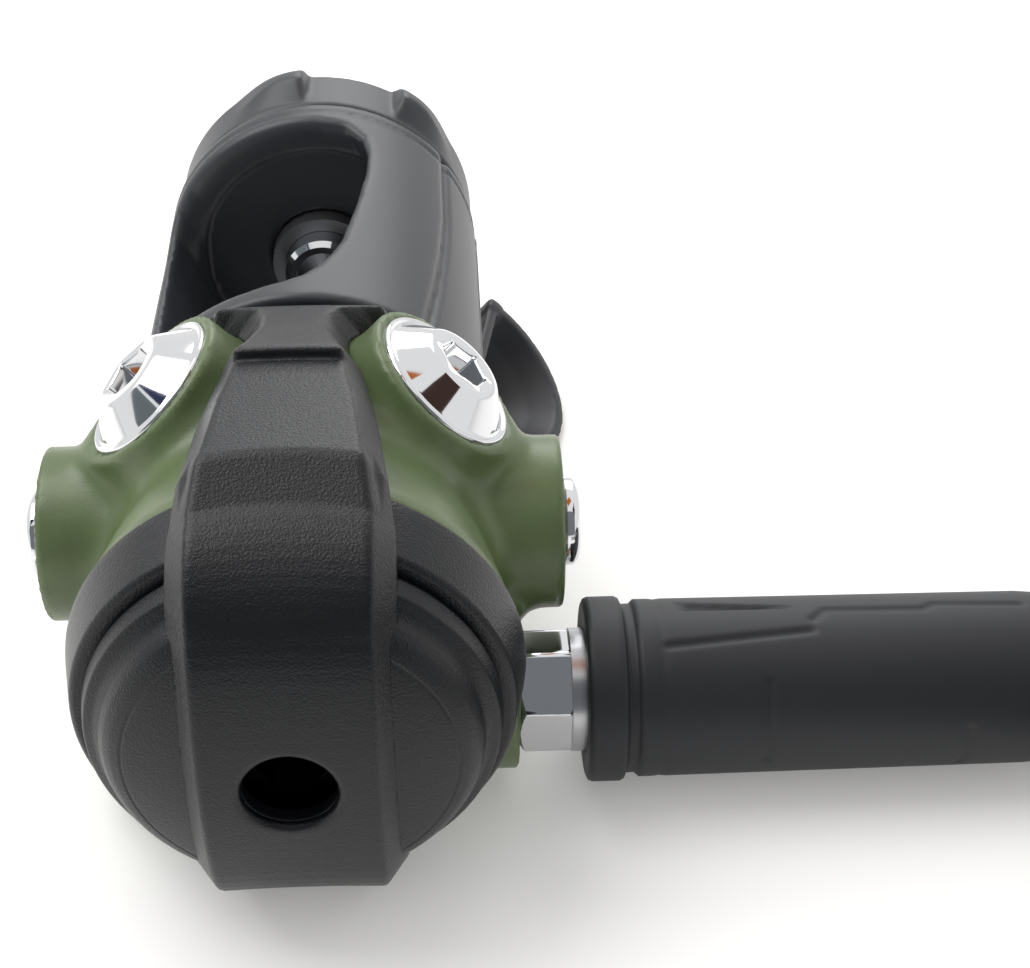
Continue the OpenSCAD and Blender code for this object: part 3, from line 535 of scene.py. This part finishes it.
def sheath_field(x, y, z, outline, window):
    """Distance to the yoke's sheath: a creased tube with two soft-edged windows."""
    r, turn = np.hypot(x, z), np.degrees(np.arctan2(z, x)) % 180
    stations, creases = zip(*CREASE)
    past = np.radians(turn - np.interp(y, stations, creases)) * YOKE_R
    relief = 0.3 * np.clip(past / 2, 0, 1) - 0.7 * np.exp(-(past / 0.8) ** 2)
    relief = relief - 0.3 * np.exp(-((y - 103.2) / 0.5) ** 2)
    tube = outline_distance(outline, r - relief * np.clip((r - 23) / 2, 0, 1), y)
    across = x * math.cos(YOKE_TURN) + z * math.sin(YOKE_TURN)
    return meet(tube, -outline_distance(window, across, y), 2.4)


KNOB_FRONT, KNOB_BACK, KNOB_R, KNOB_HORN, GRIP_TURN = 107.3, 119.2, 25.0, 3.0, 77.5


def knob_field(x, y, z):
    """Distance to the knob with its two grips between horns, and its screw socket."""
    r = np.hypot(x, z)
    turn = np.abs((np.degrees(np.arctan2(z, x)) - GRIP_TURN + 90) % 180 - 90)
    fade = np.clip((turn - 18.5) / 31.5, 0, 1)
    horn = (1 - fade * fade * (3 - 2 * fade)) / (1 + np.exp((17.5 - turn) / 0.5))
    horn = horn * np.clip((y - KNOB_FRONT - 1.5) / 4, 0, 1)
    ball = np.hypot(np.maximum(r - 22, 0), np.maximum(y - (KNOB_BACK - 6), 0)) - 6
    whole = meet(r - KNOB_R - KNOB_HORN * horn, np.maximum(KNOB_FRONT - y, y - KNOB_BACK), 1.4)
    whole = meet(whole, ball, 1.0)
    whole = np.maximum(whole, -rod(x, y, z, (0, 0, 0), (0, 1, 0), 6.3, 100, KNOB_FRONT + 9))
    return np.maximum(whole, -rod(x, y, z, (0, 0, 0), (0, 1, 0), 11.4, 100, KNOB_FRONT + 0.4))


DUST_POS, DUST_TILT, DUST_R = (28.4, 93.0, -17.3), (0, 45, -10), 17.0


def dust_field(x, y, z, dish, solid, turn):
    """Distance to the dust cap: a cut dish, its strap and the ring round the body's neck."""
    local = np.stack(np.broadcast_arrays(x - DUST_POS[0], y - DUST_POS[1], z - DUST_POS[2]), -1) @ turn
    lx, ly, lz = np.moveaxis(local, -1, 0)
    r = np.hypot(lx, ly)
    bowl = meet(outline_distance(dish, r, lz) - 0.5, -4 - lx, 0.8)
    wall = meet(outline_distance(solid, r, lz) - 0.5, np.maximum(-4 - lx, lx + 1.8), 0.8)
    whole = join(bowl, wall, 1.2)
    neck = np.hypot(x, z)
    ring = meet(np.maximum(16.25 - neck, neck - 21), np.maximum(44.6 - y, y - 46.1), 0.4)
    lean = math.radians(-38)
    out, over = x * math.cos(lean) + z * math.sin(lean), z * math.cos(lean) - x * math.sin(lean)
    arm = np.maximum(np.maximum(18 - out, out - 28.3), np.maximum(44.6 - y, y - 46.1))
    band = np.maximum(np.maximum(26.5 - out, out - 28.3), np.maximum(44.6 - y, y - 98))
    strap = meet(np.minimum(arm, band), np.abs(over) - 3.5, 0.5)
    whole = np.minimum(join(ring, strap, 0.5), join(whole, strap, 1.5))
    return meet(whole, -AXIS.z / MM - z, 0.3)  # the soft rim lies flat on the ground


GUARD_X, GUARD_LEN = 37.6, 82.5
ARC_MM = math.radians(12.2)
GUARD_SHAPE = (
    (0, 11.9), (0.25, 12.45), (0.8, 12.7), (4.5, 12.7), (5.0, 12.45), (5.25, 11.9), (5.4, 11.6), (6.6, 11.6),
    (6.8, 11.8), (7.2, 12.2), (60.5, 11.9), (64, 11.6), (80.5, 8.3), (81.6, 8.0), (82.3, 7.6), (82.5, 7.1))


def path_distance(path, u, v):
    """Distance to an open path."""
    best = np.full(np.broadcast(u, v).shape, 1e9)
    for (au, av), (bu, bv) in zip(path, path[1:]):
        du, dv = bu - au, bv - av
        share = np.clip(((u - au) * du + (v - av) * dv) / (du * du + dv * dv), 0, 1)
        best = np.minimum(best, np.hypot(u - au - share * du, v - av - share * dv))
    return best


def guard_radius(along, turn):
    """Radius of the hose guard's relief; turn is in degrees from its top towards the front."""
    stations, radii = zip(*GUARD_SHAPE)
    r = np.interp(along, stations, radii) + 0 * turn
    r = r - 0.12 * np.exp(-((along - 10) / 0.5) ** 2)
    wedge = outline_distance([(12.3, -23), (28.6, -13), (28.6, -10), (12.3, -10)], along, turn)
    r = r - 0.8 * np.clip(-wedge / 2.5, 0, 1)
    for path, depth in (
            ([(10.8, 20.5), (30.3, 11.4)], 0.45),
            ([(30.8, 2), (32.8, -8), (46.2, -6.8), (47.9, -12.6), (59.8, -9.5)], 0.4),
            ([(24, 46), (24, 104)], 0.35), ([(51, 81), (51, 119)], 0.35)):
        away = path_distance([(a, b * ARC_MM) for a, b in path], along, turn * ARC_MM)
        r = r - depth * np.exp(-(away / 0.5) ** 2)
    return r


# Node trees for what repeats or follows a path


def new_tree(name, inputs):
    """An empty geometry tree with inputs (name, socket type): the tree, its input and its output node."""
    tree = bpy.data.node_groups.new(name, "GeometryNodeTree")
    tree.interface.new_socket("Geometry", in_out="INPUT", socket_type="NodeSocketGeometry")
    for label, kind in inputs:
        tree.interface.new_socket(label, in_out="INPUT", socket_type="NodeSocket" + kind)
    tree.interface.new_socket("Geometry", in_out="OUTPUT", socket_type="NodeSocketGeometry")
    return tree, add(tree, "NodeGroupInput", {}), add(tree, "NodeGroupOutput", {})


def grown(name, tree, base, values):
    """An object of plain geometry, made by running a tree on a base mesh with its inputs set."""
    piece = bpy.data.objects.new(name, base)
    bpy.context.scene.collection.objects.link(piece)
    run = piece.modifiers.new(name, "NODES")
    run.node_group = tree
    for item in tree.interface.items_tree:
        if item.in_out == "INPUT" and item.name in values:
            run[item.identifier] = values[item.name]
    graph = bpy.context.evaluated_depsgraph_get()
    graph.update()
    made = bpy.data.meshes.new_from_object(piece.evaluated_get(graph))
    piece.modifiers.remove(run)
    piece.data = made
    return piece


def plug_tree():
    """Tree that sets one plug on each point, turned by the point's own angles."""
    tree, given, result = new_tree("Plugs", (("Plug", "Object"), ("Finish", "Material")))
    shape = add(tree, "GeometryNodeObjectInfo", {"Object": given.outputs["Plug"]})
    angles = add(tree, "GeometryNodeInputNamedAttribute", {"Name": "turn"}, data_type="FLOAT_VECTOR")
    turn = add(tree, "FunctionNodeEulerToRotation", {"Euler": angles.outputs["Attribute"]})
    spread = add(tree, "GeometryNodeInstanceOnPoints", {
        "Points": given.outputs["Geometry"], "Instance": shape.outputs["Geometry"],
        "Rotation": turn.outputs["Rotation"]})
    solid = add(tree, "GeometryNodeRealizeInstances", {"Geometry": spread.outputs["Instances"]})
    done = add(tree, "GeometryNodeSetMaterial", {
        "Geometry": solid.outputs["Geometry"], "Material": given.outputs["Finish"]})
    tree.links.new(done.outputs["Geometry"], result.inputs["Geometry"])
    return tree


def spring_tree():
    """Tree that winds a round wire into a spring along the body axis."""
    tree, given, result = new_tree("Spring", (
        ("Turns", "Float"), ("Radius", "Float"), ("Length", "Float"), ("Wire", "Float"), ("Start", "Vector"),
        ("Finish", "Material")))
    spiral = add(tree, "GeometryNodeCurveSpiral", {
        "Resolution": 40, "Rotations": given.outputs["Turns"], "Start Radius": given.outputs["Radius"],
        "End Radius": given.outputs["Radius"], "Height": given.outputs["Length"]})
    round_wire = add(tree, "GeometryNodeCurvePrimitiveCircle", {
        "Resolution": 16, "Radius": given.outputs["Wire"]})
    wound = add(tree, "GeometryNodeCurveToMesh", {
        "Curve": spiral.outputs["Curve"], "Profile Curve": round_wire.outputs["Curve"], "Fill Caps": True})
    stood = add(tree, "GeometryNodeTransform", {
        "Geometry": wound.outputs["Mesh"], "Translation": given.outputs["Start"],
        "Rotation": (-math.pi / 2, 0.0, 0.0)})
    solid = add(tree, "GeometryNodeRealizeInstances", {"Geometry": stood.outputs["Geometry"]})
    smooth = add(tree, "GeometryNodeSetShadeSmooth", {"Geometry": solid.outputs["Geometry"]})
    done = add(tree, "GeometryNodeSetMaterial", {
        "Geometry": smooth.outputs["Geometry"], "Material": given.outputs["Finish"]})
    tree.links.new(done.outputs["Geometry"], result.inputs["Geometry"])
    return tree


# Plugs, fitting, guard and hose


def high_plug_rows():
    """Rows of a high-pressure plug from its port face: shank, rim, coned head and hexagon socket."""
    rows = [(0, -12), (5.5, -12), (5.5, -0.8), (10.8, -0.8), (10.8, 0.1), (10.7, 0.3), (10.45, 0.42),
        (10.2, 0.35)]
    rows += [(10.0, 0.12), (9.75, 0.12), (9.4, 0.45), (6.2, 3.4), (5.95, 3.58), (5.6, 3.68), (5.2, 3.7),
        (3.9, 3.7)]
    return rows + [(3.5, 3.62, 4.0), (3.35, 3.3, 9), (3.35, 0.2, 9), (3.1, 0, 9), (0, 0)]


def feed_plug_rows():
    """Rows of a low-pressure plug from its port face."""
    rows = [(0, -13), (4.7, -13), (4.7, 0.05), (6.1, 0.05), (6.2, 0.2), (6.2, 1.5), (6.1, 1.75), (5.5, 2.35)]
    return rows + [(5.2, 2.5), (2.5, 2.5), (2.1, 2.42, 2.45), (2.0, 2.2, 9), (2.0, -1.4, 9), (0, -1.5)]


def set_plugs(name, rows, seats, tree, steps):
    """Plugs of one kind, instanced on seats (origin, direction)."""
    points, faces = lathe(rows, steps)
    pattern = mesh_object(name + "_pattern", points, faces)
    pattern.data.transform(Matrix.Translation(-Vector(BASE)))
    base = bpy.data.meshes.new(name)
    base.from_pydata([tuple(np.array(o) * MM + BASE) for o, _ in seats], [], [])
    turns = base.attributes.new("turn", "FLOAT_VECTOR", "POINT")
    for spot, (_, direction) in zip(turns.data, seats):
        spot.vector = Vector(direction).to_track_quat("Z", "Y").to_euler()
    plugs = grown(name, tree, base, {"Plug": pattern, "Finish": material_of("chrome")})
    bpy.data.objects.remove(pattern)
    return plugs


def fitting_rows():
    """Rows of the hose fitting from the low port's middle plane: thread, chamfered hexagon and collar."""
    flat, corner = 7.25, 7.25 / math.cos(math.pi / 6)
    start, end = LOW_REACH + 0.05, LOW_REACH + 8.2
    rows = [(0, 16), (4.7, 16), (4.7, start - 0.02), (flat - 0.3, start)]
    bevel = [(flat, start + t * 0.8, flat + t * (corner - flat + 0.05)) for t in np.linspace(0, 1, 5)]
    bevel += [(flat, end - t * 0.8, flat + t * (corner - flat + 0.05)) for t in np.linspace(1, 0, 5)]
    return rows + bevel + [(flat - 0.3, end), (8, end + 0.02), (8, end + 0.9), (7.8, end + 1), (0, end + 1)]


def ring_faces(count, steps):
    """Faces of count rings of points, the last joined to the first."""
    return [
        (i * steps + k, i * steps + (k + 1) % steps, (i + 1) % count * steps + (k + 1) % steps,
         (i + 1) % count * steps + k) for i in range(count) for k in range(steps)]


def guard_mesh(steps):
    """Points and faces of the hose guard about x, outside relief and inside bore."""
    along = np.unique(np.concatenate([np.arange(0, GUARD_LEN, 0.45), [s for s, _ in GUARD_SHAPE]]))
    turn = np.linspace(-180, 180, steps, endpoint=False)
    outer = guard_radius(along[:, None], turn[None, :])
    rows = [(s, r) for s, r in zip(along, outer)]
    rows += [(s, np.full(steps, r)) for s, r in ((GUARD_LEN, 5.55), (20.5, 5.55), (20.5, 8.55), (0, 8.55))]
    lean = np.radians(turn)
    points = np.concatenate([
        np.stack([np.full(steps, GUARD_X + s), LOW_Y - r * np.sin(lean), LOW_Z + r * np.cos(lean)], 1)
        for s, r in rows])
    return points, ring_faces(len(rows), steps)


COIL_CENTRE, COIL_R, COIL_PITCH, COIL_LAYER = (157.0, -97.0), 61.0, 12.0, 11.7
LEAD = (
    (34.3, -36, 12.8), (58, -36, 12.8), (80, -36, 12.8), (100, -36, 12.8), (119, -36, 12.8), (127, -36, 12.2),
    (133, -36, 10.9), (138, -36, 9.2), (143, -36, 7.5), (149, -36, 6.1))
TAIL = (
    (142, -152, 17), (133, -151.6, 16.2), (124, -150.6, 14.2), (115, -149.4, 12), (106, -148.4, 10.6),
    (97, -148, 10), (87, -148, 10))


def coil_point(turn):
    """A point of the coil in millimetres of the part's frame, at an angle in degrees."""
    r = COIL_R - COIL_PITCH * (turn if turn < 360 else 720 - turn) / 360
    lift = min(1.0, max(0.0, (turn - 270) / 180))
    lift = lift * lift * (3 - 2 * lift)
    lean = math.radians(turn)
    return (COIL_CENTRE[0] + r * math.sin(lean), COIL_CENTRE[1] + r * math.cos(lean), 5.5 + COIL_LAYER * lift)


def hose_points():
    """The hose's centreline from its fitting to its far end, in metres."""
    return [Vector(p) * MM for p in (*LEAD, *(coil_point(15 * i) for i in range(37)), *TAIL)]


def hose_curve(diameter):
    """The hose as one open spline: the curve and its length."""
    points = hose_points()
    data = bpy.data.curves.new("Hose", "CURVE")
    data.dimensions, data.bevel_depth, data.bevel_resolution, data.use_fill_caps = "3D", diameter / 2, 8, True
    spline = data.splines.new("POLY")
    fine = []
    for a, b, c, d in zip([points[0]] + points, points, points[1:], points[2:] + points[-1:]):
        for t in (0, 0.25, 0.5, 0.75):
            pull = 0.5 * (
                2 * b + (c - a) * t + (2 * a - 5 * b + 4 * c - d) * t * t + (3 * b - a - 3 * c + d) * t ** 3)
            fine.append(pull)
    fine.append(points[-1])
    spline.points.add(len(fine) - 1)
    for spot, p in zip(spline.points, fine):
        spot.co = (*p, 1)
    hose = bpy.data.objects.new("hose_cord", data)
    bpy.context.scene.collection.objects.link(hose)
    return hose, sum((b - a).length for a, b in zip(fine, fine[1:]))


def hose_tie():
    """A flat band round the two strands of the coil at its far side."""
    strands = [Vector(coil_point(turn)) for turn in (90, 450)]
    apart = strands[1] - strands[0]
    lean = math.degrees(math.atan2(apart.z, apart.x))
    loop = [(0, a) for a in np.linspace(lean + 90, lean + 270, 19)]
    loop += [(1, a) for a in np.linspace(lean - 90, lean + 90, 19)]
    points = []
    for r, y in ((5.52, -6), (5.52, 6), (6.0, 6), (6.0, -6)):
        for which, turn in loop:
            side = Vector((math.cos(math.radians(turn)), 0, math.sin(math.radians(turn)))) * r
            points.append(np.array(strands[which] + side + Vector((0, y, 0))) - BASE / MM)
    return mesh_object("hose_tie", points, ring_faces(4, len(loop)))


# Operators


class REGULATOR_OT_finishes(bpy.types.Operator):
    """Make the materials and give each remaining CAD piece its own"""

    bl_idname = "regulator.finishes"
    bl_label = "Finishes"
    bl_options = {"REGISTER", "UNDO"}

    def execute(self, context):
        make_finishes(context.scene.regulator_finish)
        for part in frame["record"]["subparts"]:
            mesh = frame["nodes"][part["node"]].data
            mesh.materials.clear()
            mesh.materials.append(material_of(part["material_slot"]))
        return {"FINISHED"}


class REGULATOR_OT_cap(bpy.types.Operator):
    """Build the threaded ring and the stepped dome cover"""

    bl_idname = "regulator.cap"
    bl_label = "Cap"
    bl_options = {"REGISTER", "UNDO"}

    def execute(self, context):
        form = context.scene.regulator_form
        plastic = material_of("black_plastic")
        ring = turned("cap_ring_skin", rounded(RING, in_mm(form.edge) * 0.8), form.steps)
        settle(ring, plastic, "black_plastic", "first_stage", "cap_ring")
        dome = turned("dome_skin", rounded(dome_outline(), in_mm(form.edge) * 0.7, 3), form.steps)
        settle(dome, plastic, "black_plastic", "first_stage", "dome_cover")
        return {"FINISHED"}


class REGULATOR_OT_strap(bpy.types.Operator):
    """Build the bumper strap over the cap"""

    bl_idname = "regulator.strap"
    bl_label = "Strap"
    bl_options = {"REGISTER", "UNDO"}

    def execute(self, context):
        form = context.scene.regulator_form
        outline = strap_outline()
        strap = skin(
            "strap_skin", lambda x, y, z: strap_field(x, y, z, outline, in_mm(form.edge)),
            (-14.5, -24, -31), (14.5, 46, 35), 0.75 * in_mm(form.cell))
        settle(strap, material_of("black_plastic"), "black_plastic", "first_stage", "cover_strap")
        return {"FINISHED"}


class REGULATOR_OT_body(bpy.types.Operator):
    """Build the manifold body with its blended port bosses"""

    bl_idname = "regulator.body"
    bl_label = "Body"
    bl_options = {"REGISTER", "UNDO"}

    def execute(self, context):
        form = context.scene.regulator_form
        body = skin(
            "body_skin", lambda x, y, z: body_field(x, y, z, in_mm(form.blend)),
            (-36, -7.5, -30), (36, 47, 34), 1.45 * in_mm(form.cell))
        settle(body, material_of("green_coating"), "green_coating", "first_stage", "body")
        return {"FINISHED"}


class REGULATOR_OT_plugs(bpy.types.Operator):
    """Set the port plugs"""

    bl_idname = "regulator.plugs"
    bl_label = "Plugs"
    bl_options = {"REGISTER", "UNDO"}

    def execute(self, context):
        tree = plug_tree()
        high, feed = [], []
        for origin, direction, _, reach, thread in port_list():
            seat = tuple(o + d * reach for o, d in zip(origin, direction)), direction
            if thread > FEED_R:
                high.append(seat)
            elif origin[1] == SIDE_Y or direction[0] < 0:
                feed.append(seat)
        plugs = set_plugs("high_plugs", high_plug_rows(), high, tree, 96)
        settle(plugs, material_of("chrome"), "chrome", "first_stage", "high_pressure_plugs")
        plugs = set_plugs("low_plugs", feed_plug_rows(), feed, tree, 96)
        settle(plugs, material_of("chrome"), "chrome", "first_stage", "low_pressure_plugs")
        return {"FINISHED"}


class REGULATOR_OT_yoke(bpy.types.Operator):
    """Build the yoke's sheath"""

    bl_idname = "regulator.yoke"
    bl_label = "Yoke"
    bl_options = {"REGISTER", "UNDO"}

    def execute(self, context):
        form = context.scene.regulator_form
        outline = arc(YOKE_R - 1.2, YOKE_FRONT + 1.2, 1.2, -90, 0, 4)
        outline += arc(YOKE_R - 1.5, YOKE_BACK - 1.5, 1.5, 0, 90, 4)
        outline += [(8.7, YOKE_BACK), (8.7, 101), (19.5, 101), (19.5, 50.6), (16.5, 50.6)]
        outline += [(16.5, YOKE_FRONT)]
        window = list(WINDOW) + [(-u, y) for u, y in WINDOW[:0:-1]]
        sheath = skin(
            "sheath_skin", lambda x, y, z: sheath_field(x, y, z, outline, window),
            (-26.5, 46, -26.5), (26.5, 107, 26.5), 1.25 * in_mm(form.cell))
        settle(sheath, material_of("sheath_rubber"), "sheath_rubber", "first_stage", "yoke_sheath")
        return {"FINISHED"}


class REGULATOR_OT_knob(bpy.types.Operator):
    """Build the lobed knob"""

    bl_idname = "regulator.knob"
    bl_label = "Knob"
    bl_options = {"REGISTER", "UNDO"}

    def execute(self, context):
        form = context.scene.regulator_form
        knob = skin("knob_skin", knob_field, (-29, 107, -29), (29, 120, 29), in_mm(form.cell))
        settle(knob, material_of("sheath_rubber"), "sheath_rubber", "knob", "knob")
        return {"FINISHED"}


class REGULATOR_OT_dust_cap(bpy.types.Operator):
    """Build the dust cap with its strap"""

    bl_idname = "regulator.dust_cap"
    bl_label = "Dust cap"
    bl_options = {"REGISTER", "UNDO"}

    def execute(self, context):
        form = context.scene.regulator_form
        outside = [(0, -8.9), (8.6, -8.9), (12.7, -6.2), (15.5, -3), (16.5, -0.9), (16.5, -0.5)]
        dish = outside + [(15.3, -0.5), (12.4, -4.3), (8.7, -7.9), (0, -7.9)]
        x, y, z = (math.radians(a) for a in DUST_TILT)
        turn = Matrix.Rotation(z, 3, "Z") @ Matrix.Rotation(y, 3, "Y") @ Matrix.Rotation(x, 3, "X")
        turn = np.array(turn)
        cap = skin(
            "dust_cap_skin", lambda x, y, z: dust_field(x, y, z, dish, outside + [(0, -0.5)], turn),
            (-22, 43, -31), (46, 112, 22), in_mm(form.cell))
        settle(cap, material_of("cap_rubber"), "cap_rubber", "dust_cap", "dust_cap")
        return {"FINISHED"}


class REGULATOR_OT_hose_end(bpy.types.Operator):
    """Build the hose fitting and the hose guard"""

    bl_idname = "regulator.hose_end"
    bl_label = "Hose fitting and guard"
    bl_options = {"REGISTER", "UNDO"}

    def execute(self, context):
        points, faces = lathe(fitting_rows(), 180)
        place = facing((0, LOW_Y, LOW_Z), (1, 0, 0)) @ Matrix.Rotation(math.radians(10), 4, "Z")
        fitting = mesh_object("fitting_skin", moved(points, place), faces)
        settle(fitting, material_of("chrome"), "chrome", "first_stage", "hose_fitting")
        guard = mesh_object("guard_skin", *guard_mesh(200))
        settle(guard, material_of("guard_rubber"), "guard_rubber", "first_stage", "hose_guard")
        return {"FINISHED"}


class REGULATOR_OT_hose(bpy.types.Operator):
    """Lay the hose as a curve, with a tie band round its coil"""

    bl_idname = "regulator.hose"
    bl_label = "Hose"
    bl_options = {"REGISTER", "UNDO"}

    def execute(self, context):
        form = context.scene.regulator_form
        hose, length = hose_curve(round(form.hose_d, 6))
        settle(hose, material_of("hose_rubber"), "hose_rubber", "first_stage", "hose", "hose_coil")
        settle(hose_tie(), material_of("cap_rubber"), "cap_rubber", "first_stage")
        return {"FINISHED"}


class REGULATOR_OT_springs(bpy.types.Operator):
    """Wind the main spring and the poppet spring"""

    bl_idname = "regulator.springs"
    bl_label = "Springs"
    bl_options = {"REGISTER", "UNDO"}

    def execute(self, context):
        tree = spring_tree()
        for name, node, turns, wire, front, back in (
                ("main_spring_wire", "main_spring", 3.5, 2.2, "first_stage", "valve_train"),
                ("poppet_spring_wire", "poppet_spring", 3.0, 0.8, "valve_train", "first_stage")):
            low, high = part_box(node)
            start = Vector((AXIS.x, low.y + wire * MM / 2, AXIS.z))
            empty = bpy.data.meshes.new(name)
            spring = grown(name, tree, empty, {
                "Turns": turns, "Radius": (high.x - low.x) / 2 - wire * MM / 2, "Wire": wire * MM / 2,
                "Length": high.y - low.y - wire * MM, "Start": start, "Finish": material_of("steel")})
            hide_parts(node)
            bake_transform(spring)
        return {"FINISHED"}


# Studio


def aimed(name, data, place, target):
    """A light or camera at a place, looking at a target."""
    lamp = bpy.data.objects.new(name, data)
    lamp.location = place
    lamp.rotation_euler = (Vector(target) - Vector(place)).to_track_quat("-Z", "Y").to_euler()
    bpy.context.scene.collection.objects.link(lamp)
    return lamp


def soft_light(name, place, target, power, wide):
    """A square area light."""
    data = bpy.data.lights.new(name, "AREA")
    data.energy, data.size = power, wide
    return aimed(name, data, place, target)


def flat(name, slot, wide, high, z=0.0):
    """A rectangle in the plane of x and y, with its material."""
    x, y = wide / 2, high / 2
    mesh = bpy.data.meshes.new(name)
    mesh.from_pydata([(-x, -y, z), (x, -y, z), (x, y, z), (-x, y, z)], [], [(0, 1, 2, 3)])
    mesh.materials.append(material_of(slot))
    return mesh


def card(name, tone, place, target, wide, high):
    """A card that only mirrors see."""
    _, shader = finish(name, name, linear("#000000"), 1.0)
    shader.inputs["Emission Color"].default_value = tone
    shader.inputs["Emission Strength"].default_value = 1.0
    made = aimed(name, flat(name, name, wide, high), place, target)
    made.visible_camera = made.visible_diffuse = made.visible_shadow = made.visible_transmission = False
    return made


def white_surround():
    """World that is white to the camera and in mirrors, and a softer fill elsewhere."""
    world = bpy.data.worlds.new("Studio")
    world.use_nodes = True
    tree = world.node_tree
    rays = add(tree, "ShaderNodeLightPath", {})
    seen = add(tree, "ShaderNodeMath", {
        0: rays.outputs["Is Camera Ray"], 1: rays.outputs["Is Glossy Ray"]}, operation="MAXIMUM")
    seen = add(tree, "ShaderNodeMath", {
        0: seen.outputs[0], 1: rays.outputs["Is Transmission Ray"]}, operation="MAXIMUM")
    fill = add(tree, "ShaderNodeBackground", {"Color": (1, 1, 1, 1), "Strength": 0.75})
    white = add(tree, "ShaderNodeBackground", {"Color": (1, 1, 1, 1), "Strength": 1.0})
    both = add(tree, "ShaderNodeMixShader", {0: seen.outputs[0], 1: fill.outputs[0], 2: white.outputs[0]})
    tree.links.new(both.outputs[0], tree.nodes["World Output"].inputs["Surface"])
    bpy.context.scene.world = world


class REGULATOR_OT_stage(bpy.types.Operator):
    """Set the camera, floor, lights and image"""

    bl_idname = "regulator.stage"
    bl_label = "Stage"
    bl_options = {"REGISTER", "UNDO"}

    def execute(self, context):
        scene, stage = context.scene, context.scene.regulator_stage
        white_surround()
        _, shader = finish("floor", "Pale floor", stage.floor, 0.85)
        shader.inputs["Emission Color"].default_value = stage.floor
        shader.inputs["Emission Strength"].default_value = 0.2
        floor = bpy.data.objects.new("Floor", flat("Floor", "floor", FLOOR_WIDE, FLOOR_WIDE, FLOOR_Z))
        scene.collection.objects.link(floor)
        key = soft_light("Key", (-0.3, 0.1, 0.55), (0, 0, 0.02), 2.5, 0.45)
        rim = soft_light("Back", (0.1, 0.5, 0.4), (0, 0, 0.03), 1.5, 0.4)
        lens = bpy.data.cameras.new("Camera")
        lens.lens, lens.sensor_width = stage.lens, 36.0
        camera = bpy.data.objects.new("Camera", lens)
        look = Vector((
            math.sin(stage.yaw) * math.cos(stage.pitch), math.cos(stage.yaw) * math.cos(stage.pitch),
            -math.sin(stage.pitch)))
        level = Vector((math.cos(stage.yaw), -math.sin(stage.yaw), 0))
        right = math.cos(stage.roll) * level + math.sin(stage.roll) * level.cross(look)
        axes = Matrix((right, right.cross(look), -look)).transposed().to_4x4()
        camera.matrix_world = Matrix.Translation(CAMERA_AT) @ axes
        scene.collection.objects.link(camera)
        scene.camera = camera
        cards = [
            card("Front_card", linear("#7A7D82"), (0, -0.9, 0.5), (0, 0, 0.02), 2.4, 1.3),
            card("Warm_card", linear("#C06A22"), (0.05, -0.05, 0.8), (0, 0, 0.03), 0.3, 0.22),
            card("Brown_card", linear("#3A2620"), (0.5, -0.25, 0.6), (0, 0, 0.03), 0.35, 0.4),
            card("Blue_card", linear("#1E2A52"), (-0.35, -0.15, 0.65), (0, 0, 0.03), 0.2, 0.35),
            card("Grey_card", linear("#6C7478"), (-0.6, -0.3, 0.4), (0, 0, 0.03), 0.3, 0.35)]
        scene.render.resolution_x, scene.render.resolution_y = IMAGE_W, IMAGE_H
        scene.view_settings.view_transform = "Standard"
        scene.render.engine = "CYCLES"
        return {"FINISHED"}


STEPS = (
    REGULATOR_OT_finishes, REGULATOR_OT_cap, REGULATOR_OT_strap, REGULATOR_OT_body, REGULATOR_OT_plugs,
    REGULATOR_OT_yoke, REGULATOR_OT_knob, REGULATOR_OT_dust_cap, REGULATOR_OT_hose_end, REGULATOR_OT_hose,
    REGULATOR_OT_springs, REGULATOR_OT_stage)


class REGULATOR_PT_panel(bpy.types.Panel):
    """Sidebar panel with the settings and one button for each step"""

    bl_idname = "REGULATOR_PT_panel"
    bl_label = "Regulator"
    bl_space_type = "VIEW_3D"
    bl_region_type = "UI"
    bl_category = "Regulator"

    def draw(self, context):
        for group in ("regulator_finish", "regulator_form", "regulator_stage"):
            settings = getattr(context.scene, group)
            for key in settings.__annotations__:
                self.layout.prop(settings, key)
        for step in STEPS:
            self.layout.operator(step.bl_idname)


GROUPS = {
    "regulator_finish": FinishSettings, "regulator_form": FormSettings, "regulator_stage": StageSettings}


def register():
    """Add the settings, operators and panel."""
    for made in (*GROUPS.values(), *STEPS, REGULATOR_PT_panel):
        bpy.utils.register_class(made)
    for name, group in GROUPS.items():
        setattr(bpy.types.Scene, name, PointerProperty(type=group))


def unregister():
    """Take them away again."""
    for name in GROUPS:
        delattr(bpy.types.Scene, name)
    for made in (REGULATOR_PT_panel, *STEPS, *GROUPS.values()):
        bpy.utils.unregister_class(made)


def main():
    """Build everything in order."""
    register()
    for step in STEPS:
        area, name = step.bl_idname.split(".")
        getattr(getattr(bpy.ops, area), name)()


if __name__ == "__main__":
    main()
